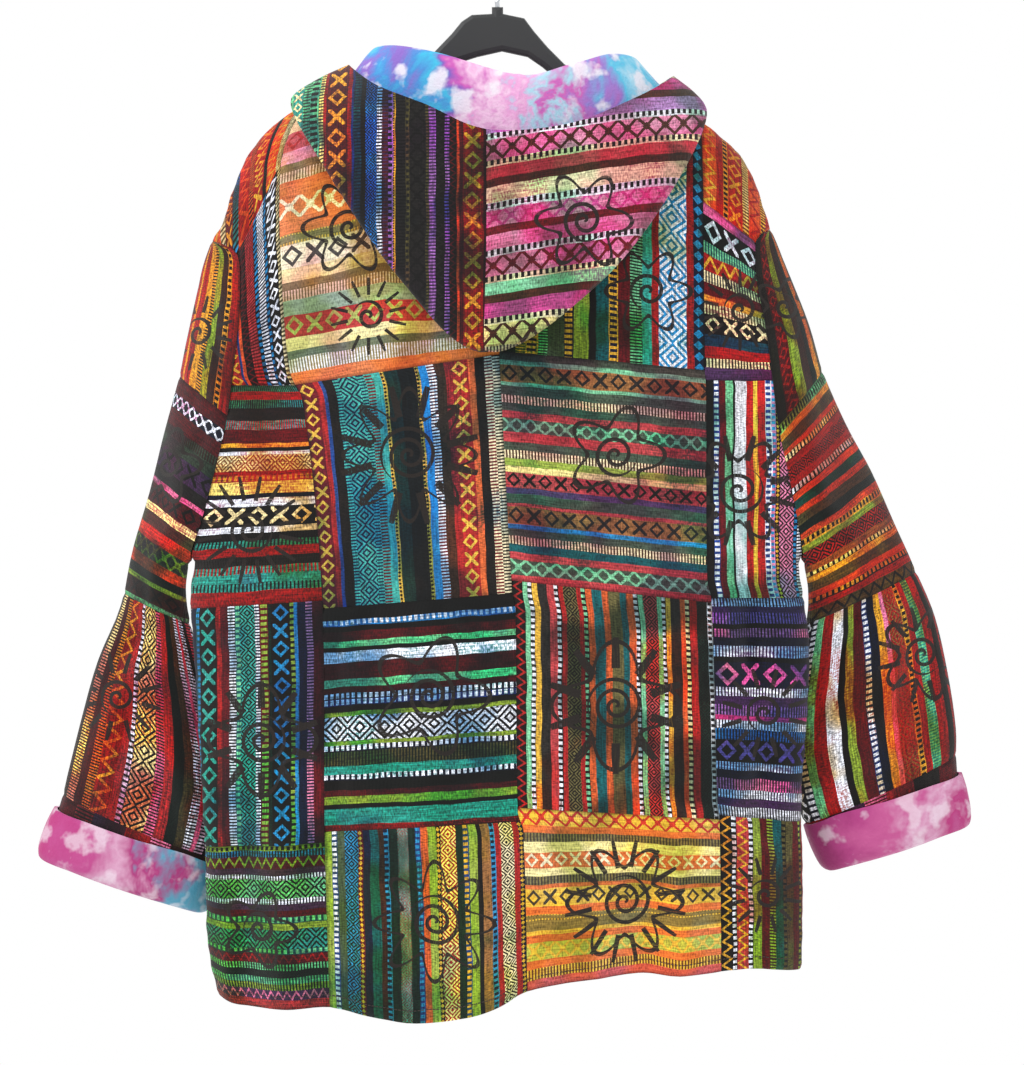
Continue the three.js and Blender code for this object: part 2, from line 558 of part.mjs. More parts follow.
function spline(p0, p1, p2, p3, t) {
  const at = (k) => 0.5 * (2 * p1[k] + (p2[k] - p0[k]) * t
    + (2 * p0[k] - 5 * p1[k] + 4 * p2[k] - p3[k]) * t * t
    + (3 * p1[k] - p0[k] - 3 * p2[k] + p3[k]) * t * t * t);
  return new THREE.Vector3(at("x"), at("y"), at("z"));
}
function hoodPoint(station, row) {
  const count = hoodTable.length;
  const s = Math.floor(station);
  const rowAt = (r) => spline(...[-1, 0, 1, 2].map((k) => hoodTable[(s + k + count) % count][r]), station - s);
  const r = Math.min(8, Math.max(0, Math.floor(row)));
  const keys = [-1, 0, 1, 2].map((k) => rowAt(Math.min(9, Math.max(0, r + k))));
  return spline(...keys, row - r);
}
function buildHood(side, from, to, colour) {
  const count = 13;
  const step = (to - from) / count;
  const around = hoodTable.length;
  const grid = hoodRows.map((row, j) => spread(count).map((t) => {
    const station = mix(from, to, t);
    const low = hoodRows[Math.max(0, j - 1)];
    const high = hoodRows[Math.min(hoodRows.length - 1, j + 1)];
    const round = hoodPoint(station + step, row).sub(hoodPoint(station - step + around, row));
    const up = hoodPoint(station, high).sub(hoodPoint(station, low));
    return { point: hoodPoint(station, row), normal: round.cross(up).normalize() };
  }));
  const apart = HOOD_GAP / 2;
  const seam = 3 * SEAM_INSET;
  add(`hood_${side}`, wallGeometry(grid, apart, apart + HOOD_SHELL, seam + 0.1), colour);
  add(`hood_lining_${side}`, wallGeometry(grid, -apart - HOOD_LINING, -apart, seam), "pink");
}

// The turned-back cuff: a doubled band of fleece round the sleeve's end, as distance past the
// end and distance out from the cloth along its middle line
const cuffLine = [
  { h: -18, out: 3.1 }, { h: -6, out: 5.2 }, { h: 8, out: 6.2 }, { h: 20, out: 5.8 }, { h: 26, out: 3.4 },
  { h: 28, out: 0.2 }, { h: 26, out: -2.8 }, { h: 16, out: -3.8 }, { h: 2, out: -3.1 }, { h: -16, out: -2.9 },
];
function buildCuff(side) {
  const e = edges[side];
  const section = (sign) => cuffLine.map((c, i) => {
    const a = cuffLine[Math.max(0, i - 1)];
    const b = cuffLine[Math.min(cuffLine.length - 1, i + 1)];
    const length = Math.hypot(b.h - a.h, b.out - a.out);
    const half = sign * CUFF_FLEECE / 2;
    return { h: c.h + half * (b.out - a.out) / length, out: c.out - half * (b.h - a.h) / length };
  });
  const loop = [...section(1), ...section(-1).reverse()];
  const ways = [e.outer, e.inner].map((line) => {
    const [a, b] = line.slice(-2);
    return new THREE.Vector3(b.x - a.x, 0, b.z - a.z).normalize();
  });
  const across = SLEEVE_ACROSS;
  const ring = [
    ...across.map((s) => ({ s, face: "back" })),
    ...across.slice(1, -1).reverse().map((s) => ({ s, face: "front" })),
  ];
  const positions = [];
  for (const { s, face } of ring) {
    const [o, i] = [e.outer.at(-1), e.inner.at(-1)];
    const { point, normal } = clothPoint("sleeve", face, mix(o.x, i.x, s), mix(o.z, i.z, s), side);
    const way = ways[0].clone().lerp(ways[1], s).normalize();
    const out = normal.clone().addScaledVector(way, -normal.dot(way)).normalize();
    for (const c of loop) {
      const p = point.clone().addScaledVector(way, c.h).addScaledVector(out, c.out);
      positions.push(p.x, p.y, p.z);
    }
  }
  const [n, m] = [ring.length, loop.length];
  const index = [];
  for (let i = 0; i < n; i++) {
    for (let k = 0; k < m; k++) {
      const [a, b] = [i * m + k, i * m + (k + 1) % m];
      const [c, d] = [((i + 1) % n) * m + (k + 1) % m, ((i + 1) % n) * m + k];
      index.push(a, b, c, a, c, d);
    }
  }
  add(`cuff_${side}`, closedGeometry(positions, index), "pink");
}

// The hanger: a moulded body under the shoulder folds, and a wire hook
const hangerTop = [
  { x: -92, z: -132 }, { x: -80, z: -121 }, { x: -70, z: -109 }, { x: -46, z: -84 }, { x: -37, z: -73 },
  { x: -28, z: -67 }, { x: -10, z: -66 }, { x: -10, z: -60 }, { x: 0, z: -60 }, { x: 0, z: -66 },
  { x: 19, z: -70 }, { x: 28, z: -82 }, { x: 40, z: -96 }, { x: 55, z: -111 }, { x: 70, z: -121 },
  { x: 80, z: -129 }, { x: 90, z: -138 },
];
const hangerUnder = [
  { x: 205, z: -210 }, { x: 150, z: -176 }, { x: 90, z: -150 }, { x: 53, z: -128 }, { x: 35, z: -113 },
  { x: 22, z: -104 }, { x: -1, z: -99 }, { x: -23, z: -104 }, { x: -39, z: -109 }, { x: -58, z: -120 },
  { x: -95, z: -146 }, { x: -150, z: -166 }, { x: -200, z: -188 },
];
function buildHanger() {
  const bevel = 4;
  const below = (line, list) => list.map((x) => ({ x, z: zAt(line, x) - HANGER_DROP }));
  const outline = [
    ...below(edges.left.shoulder, [-205, -187, -160, -139, -117, -98]), ...hangerTop,
    ...below(edges.right.shoulder, [96, 115, 134, 156, 178, 198, 207]), ...hangerUnder,
  ];
  const shape = new THREE.Shape(outline.map((p) => new THREE.Vector2(p.x, p.z)));
  const geometry = new THREE.ExtrudeGeometry(shape, {
    depth: 2 * (HANGER_HALF - bevel), bevelEnabled: true, bevelThickness: bevel, bevelSize: bevel,
    bevelOffset: -bevel, bevelSegments: 2,
  });
  geometry.translate(0, 0, -(HANGER_HALF - bevel));
  geometry.rotateX(Math.PI / 2);
  add("hanger_body", cleaned(geometry), "black", 0.6);
}
function cleaned(geometry) {
  geometry.deleteAttribute("normal");
  geometry.deleteAttribute("uv");
  const merged = mergeVertices(geometry, 1e-3);
  return closedGeometry([...merged.getAttribute("position").array], [...merged.getIndex().array]);
}
function buildHook() {
  const crown = WIRE + 20;
  const centre = WIRE - crown;
  const path = [[-5, -59.7], [-5, -52], [2, -44.5], [12, -37.5]];
  for (let degrees = -30; degrees <= 205; degrees += 23.5) {
    const a = THREE.MathUtils.degToRad(degrees);
    path.push([crown * Math.cos(a), centre + crown * Math.sin(a)]);
  }
  const curve = new THREE.CatmullRomCurve3(path.map(([x, z]) => new THREE.Vector3(x, 0, z)));
  const section = new THREE.Shape();
  section.absarc(0, 0, WIRE, 0, 2 * Math.PI);
  const geometry = new THREE.ExtrudeGeometry(section, { steps: 26, curveSegments: 4, extrudePath: curve });
  add("hanger_hook", cleaned(geometry), "steel", 0.3, 1);
}

// The front's zip: its closed chain, the slider at the top, and the pull tab on its bar
const zipTop = zAt(frontNeck, 0);
const slider = { z: zipTop - 12, half: 7.5, width: 6, plate: 2, gap: 0.3, arch: 4, archHalf: 4, holeHalf: 2.6 };
const chainThick = 2.6;
slider.y = FRONT_DEPTH + chainThick / 2 + slider.gap;
slider.pivot = slider.y + slider.plate + 1.4;
function buildZip() {
  const heights = spread(14).map((t) => mix(zipTop - 1, zAt(hem, 0), t));
  const grid = heights.map((z) => [-ZIP_HALF, ZIP_HALF].map((x) => clothPoint("body", "front", x, z)));
  add("zip_chain", wallGeometry(grid, -chainThick / 2, chainThick / 2), "black", 0.5);

  const outline = new THREE.Shape([
    [-slider.half, 0], [slider.half, 0], [slider.half, slider.plate], [slider.archHalf, slider.plate],
    [slider.archHalf, slider.plate + slider.arch - 1], [slider.archHalf - 1, slider.plate + slider.arch],
    [1 - slider.archHalf, slider.plate + slider.arch], [-slider.archHalf, slider.plate + slider.arch - 1],
    [-slider.archHalf, slider.plate], [-slider.half, slider.plate],
  ].map(([z, y]) => new THREE.Vector2(z, y)));
  const hole = new THREE.Path([
    [-slider.holeHalf, slider.plate + 0.05], [-slider.holeHalf, slider.plate + 2.8],
    [slider.holeHalf, slider.plate + 2.8], [slider.holeHalf, slider.plate + 0.05],
  ].map(([z, y]) => new THREE.Vector2(z, y)));
  outline.holes.push(hole);
  const body = new THREE.ExtrudeGeometry(outline, { depth: slider.width, bevelEnabled: false });
  body.applyMatrix4(new THREE.Matrix4().makeBasis(
    new THREE.Vector3(0, 0, 1), new THREE.Vector3(0, 1, 0), new THREE.Vector3(-1, 0, 0)));
  body.translate(slider.width / 2, slider.y, slider.z);
  add("zip_slider", cleaned(body), "steel", 0.35, 1);

  const tab = new THREE.Shape([
    [-4.8, 0.6], [-4.8, -7], [-3.2, -11], [-3.6, -25], [-2, -27], [2, -27], [3.6, -25], [3.2, -11], [4.8, -7],
    [4.8, 0.6],
  ].map(([x, z]) => new THREE.Vector2(x, z)));
  tab.holes.push(new THREE.Path([[-3.45, -0.6], [3.45, -0.6], [3.45, -6.3], [-3.45, -6.3]]
    .map(([x, z]) => new THREE.Vector2(x, z))));
  const pull = new THREE.ExtrudeGeometry(tab, { depth: 1.2, bevelEnabled: false });
  pull.translate(0, 0, -0.6);
  pull.rotateX(Math.PI / 2);
  pull.translate(0, slider.pivot, slider.z);
  add("zip_pull", cleaned(pull), "steel", 0.35, 1);
}

buildBack();
buildFronts();
buildSleeve("left", ["red", "orange", "maroon", "purple"]);
buildSleeve("right", ["green", "gold", "khaki", "purple"]);
buildHood("left", 0, 5, "maroon");
buildHood("right", 5, 10, "purple");
buildCuff("left");
buildCuff("right");
buildHanger();
buildHook();
buildZip();

export default jacket;
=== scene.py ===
"""A hooded jacket of woven patches on its hanger, dressed over its solids. Lengths in the tables
are millimetres; the jacket's back faces -Y, +Z is up, and the origin is the hook's crown."""

import math

import bpy
import numpy as np
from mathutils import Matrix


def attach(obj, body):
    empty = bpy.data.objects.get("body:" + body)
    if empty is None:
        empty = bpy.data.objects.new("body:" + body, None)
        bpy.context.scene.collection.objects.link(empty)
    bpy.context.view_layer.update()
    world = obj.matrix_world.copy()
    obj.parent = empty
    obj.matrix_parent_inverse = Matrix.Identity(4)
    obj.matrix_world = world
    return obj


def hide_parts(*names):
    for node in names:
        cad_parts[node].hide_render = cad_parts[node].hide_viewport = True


bl_info = {
    "name": "Patchwork hooded jacket",
    "version": (1, 0, 0),
    "blender": (4, 5, 0),
    "location": "View3D > Sidebar > Jacket",
    "description": "A hooded jacket of woven patches, hung on its hanger",
    "category": "Object",
}

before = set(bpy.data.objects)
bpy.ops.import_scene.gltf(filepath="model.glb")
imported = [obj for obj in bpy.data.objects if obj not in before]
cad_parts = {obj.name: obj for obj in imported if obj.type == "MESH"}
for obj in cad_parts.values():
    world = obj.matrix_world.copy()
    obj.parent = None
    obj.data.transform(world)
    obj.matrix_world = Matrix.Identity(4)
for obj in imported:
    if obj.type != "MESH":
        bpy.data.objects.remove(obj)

MM = 0.001
FOLD_RADIUS = 70
FOLD_FLAT = 0.4
BACK_DEPTH = 30
BACK_SWELL = 14
FRONT_DEPTH = 25
SLEEVE_BEHIND = 33
SLEEVE_REACH = 95
# Folds fade out over this distance from the armhole, after this much of flat cloth
ARMHOLE_FLAT = 3
ARMHOLE_FADE = 25
# Heights of the shoulder and the hem at which a column's upper and lower corners are taken
SHOULDER_LEVEL = -155.0
HEM_LEVEL = -950.0
# Puckers beside a seam: height, distance of their crest from it, and reach
PUCKER_RISE = 0.65
PUCKER_CREST = 6
PUCKER_REACH = 6.5
# Inner and outer face of each layer, off the middle surface along its normal
HOOD_CLOTH = (0.4, 1.9)
HOOD_FLEECE = (-1.9, -0.1)
ZIP_TAPE = (-2.6, -1.4)
TAPE_HALF = 13
# Where the stripes begin and how far they reach: along x on the hood's left, down z on its right
HOOD_LEFT_STRIPES = (-192, 178)
HOOD_RIGHT_STRIPES = (-98, 290)

# Dyed yarn colours of the patches, and the dyes of the fleece
PALETTE = {
    "maroon": "#7a1f2b", "red": "#b3302f", "salmon": "#c4565a", "orange": "#d9703f", "gold": "#e0b84f",
    "pale": "#f0e2a0", "cream": "#efe3bf", "mint": "#8fcfa8", "turquoise": "#4fb3a8", "sky": "#3d9cc8",
    "royal": "#34548e", "navy": "#1f2a4a", "purple": "#6a4a74", "lilac": "#b48cc0", "magenta": "#d0589c",
    "pink": "#e39ab8", "charcoal": "#3a3633", "black": "#231d1a", "forest": "#1f3a30", "khaki": "#77704a",
    "sage": "#5b6a5a", "teal": "#1f6f73", "lime": "#a6b758", "tan": "#a97c50", "white": "#e8eaf0",
    "brown": "#5a3424",
}

# Folded and sewn edges as x, z, for the left and right of the picture
EDGES = {
    "left": {
        "shoulder": [(-95, -122), (-139, -139), (-187, -154), (-211, -172), (-226, -190), (-240, -220),
                     (-252, -257), (-260, -269)],
        "outer": [(-260, -269), (-271, -299), (-284, -352), (-292, -389), (-306, -440), (-319, -493),
                  (-333, -541), (-347, -597), (-368, -647), (-383, -700), (-402, -776), (-409, -797)],
        "armhole": [(-260, -269), (-247, -275), (-235, -283), (-232, -304), (-233, -343), (-238, -387),
                    (-243, -427), (-253, -471), (-266, -519), (-272.7, -537), (-276.6, -547.5),
                    (-279, -554)],
        "side": [(-279, -554), (-275.6, -556), (-276, -561), (-280, -590), (-277, -629), (-274, -678),
                 (-271, -730), (-268, -783), (-266, -836), (-264, -898), (-255, -942)],
        "inner": [(-279, -554), (-282.4, -556), (-283, -561), (-286, -581), (-285, -607), (-279, -638),
                  (-267, -678), (-254, -722), (-248, -766), (-253, -810), (-265, -847)],
    },
    "right": {
        "shoulder": [(92, -128), (134, -143), (178, -163), (198, -180), (213, -194), (225, -217),
                     (234, -242), (239, -259)],
        "outer": [(239, -259), (259, -304), (275, -343), (288, -385), (312, -436), (334, -475),
                  (356, -524), (376, -568), (392, -607), (404, -660), (411, -708), (412, -746),
                  (415, -766)],
        "armhole": [(239, -259), (229, -265), (224, -273), (224, -304), (231, -343), (237, -387),
                    (243, -436), (253, -484), (262, -528), (264.6, -541), (266, -549), (267, -554)],
        "side": [(267, -554), (263.6, -556), (264, -561), (269, -590), (274, -629), (272, -695),
                 (267, -766), (268, -827), (268, -871), (267, -920)],
        "inner": [(267, -554), (270.4, -556), (271, -561), (275, -581), (276, -607), (272, -638),
                  (265, -678), (260, -717), (264, -757), (273, -788), (284, -810)],
    },
}
SHOULDER_END = {"left": 3, "right": 4}
BACK_NECK = [(-95, -122), (-73, -136), (-42, -151), (0, -160), (41, -154), (72, -141), (92, -128)]
FRONT_NECK = [(-95, -122), (-75, -150), (-42, -180), (0, -194), (41, -183), (75, -152), (92, -128)]
HEM = [(-255, -942), (-236, -949), (-179, -949), (-152, -948), (-108, -957), (-77, -961), (-29, -955),
       (-3, -946), (19, -933), (63, -924), (121, -917), (156, -921), (217, -915), (267, -920)]
UPRIGHTS = [
    [(-179, -151), (-196, -202), (-194, -326), (-187, -392), (-176, -414), (-159, -590), (-157, -801),
     (-152, -960)],
    [(0, -160), (-3, -374), (-2, -396), (8, -581), (11, -598), (13, -774), (18, -792), (22, -960)],
    [(176, -162), (178, -387), (179, -405), (180, -572), (184, -590), (189, -766), (191, -783),
     (193, -960)],
]
LEVELS = {
    "A": [(-283, -202), (-400, -400), (-598, -590), (-810, -803)],
    "B": [(-400, -374), (-597, -583), (-794, -783)],
    "C": [(-371, -387), (-572, -592), (-771, -783)],
    "D": [(-238, -273), (-396, -396), (-588, -588), (-779, -788)],
}
FRONT_LEVELS = [(-390, -390), (-590, -590), (-780, -780)]
SLEEVE_LEVELS = {
    "left": [(-389, -427), (-585, -612), (-768, -827)],
    "right": [(-385, -436), (-566, -612), (-732, -794)],
}

# The solids' own large folds: x and z of each end, width and height
BODY_FOLDS = [
    (-222, -215, -204, -395, 13, -6), (-232, -815, -230, -945, 17, -8), (-192, -800, -190, -950, 17, 8),
    (-147, -630, -146, -790, 10, -4), (28, -800, 85, -915, 18, 6), (222, -385, 204, -470, 14, -10),
    (204, -470, 222, -640, 14, -12), (222, -640, 232, -790, 14, -9), (-60, -560, -66, -760, 26, 4),
    (110, -400, 120, -560, 30, 4),
]
SLEEVE_FOLDS = [
    (-318, -560, -338, -720, 16, -5), (-300, -400, -282, -520, 15, 5), (318, -600, 300, -680, 16, -6),
    (350, -600, 342, -680, 15, 6), (262, -330, 282, -520, 15, 5),
]
# Small creases of the cloth: x and z of each end, width and height
BODY_CREASES = [
    (-170, -205, -120, -262, 7, 1.6), (-240, -330, -200, -352, 6, -1.8), (-246, -455, -205, -470, 7, 1.7),
    (-262, -540, -214, -560, 8, -2.2), (-258, -610, -220, -640, 6, 1.5), (-245, -700, -205, -690, 8, -1.6),
    (-180, -470, -150, -500, 6, -1.2), (-100, -430, -40, -442, 9, 1.3), (-120, -610, -30, -620, 8, -1.5),
    (-40, -600, 0, -640, 7, 1.6), (-130, -700, -60, -706, 6, 1.1), (-96, -760, -20, -742, 8, -1.4),
    (-60, -820, -66, -940, 11, -2.6), (-20, -830, -8, -930, 9, 2.4), (-110, -830, -118, -945, 12, 2.2),
    (40, -420, 100, -405, 8, -1.3), (60, -500, 150, -520, 8, 1.4), (30, -560, 120, -575, 7, -1.5),
    (60, -640, 66, -740, 9, 1.3), (140, -610, 150, -700, 8, -1.4), (110, -800, 128, -900, 12, -2.7),
    (150, -790, 160, -905, 11, 2.5), (205, -300, 190, -370, 8, 1.8), (240, -440, 214, -500, 7, 2.0),
    (250, -560, 226, -600, 7, -2.0), (246, -700, 212, -740, 8, 1.6), (235, -820, 244, -905, 10, 2.6),
    (205, -830, 208, -910, 8, -2.2), (-240, -870, -246, -935, 8, 2.4), (150, -200, 120, -260, 8, 1.2),
]
SLEEVE_CREASES = [
    (-262, -300, -250, -380, 6, -1.6), (-288, -380, -250, -400, 7, 1.6), (-300, -470, -262, -450, 7, -1.9),
    (-315, -560, -286, -545, 7, 1.8), (-345, -640, -300, -612, 8, -2.0), (-372, -735, -330, -650, 9, 2.4),
    (-300, -700, -280, -800, 9, 2.6), (-350, -770, -338, -690, 8, -2.2), (-262, -720, -272, -800, 7, -1.6),
    (248, -330, 262, -400, 6, 1.7), (262, -470, 310, -440, 8, -2.2), (275, -520, 340, -490, 8, 2.4),
    (280, -560, 362, -548, 8, -2.0), (300, -620, 380, -600, 9, 2.4), (285, -700, 318, -610, 9, -2.4),
    (320, -740, 352, -640, 9, 2.6), (380, -730, 384, -640, 8, -1.9), (290, -770, 300, -690, 8, 2.0),
]

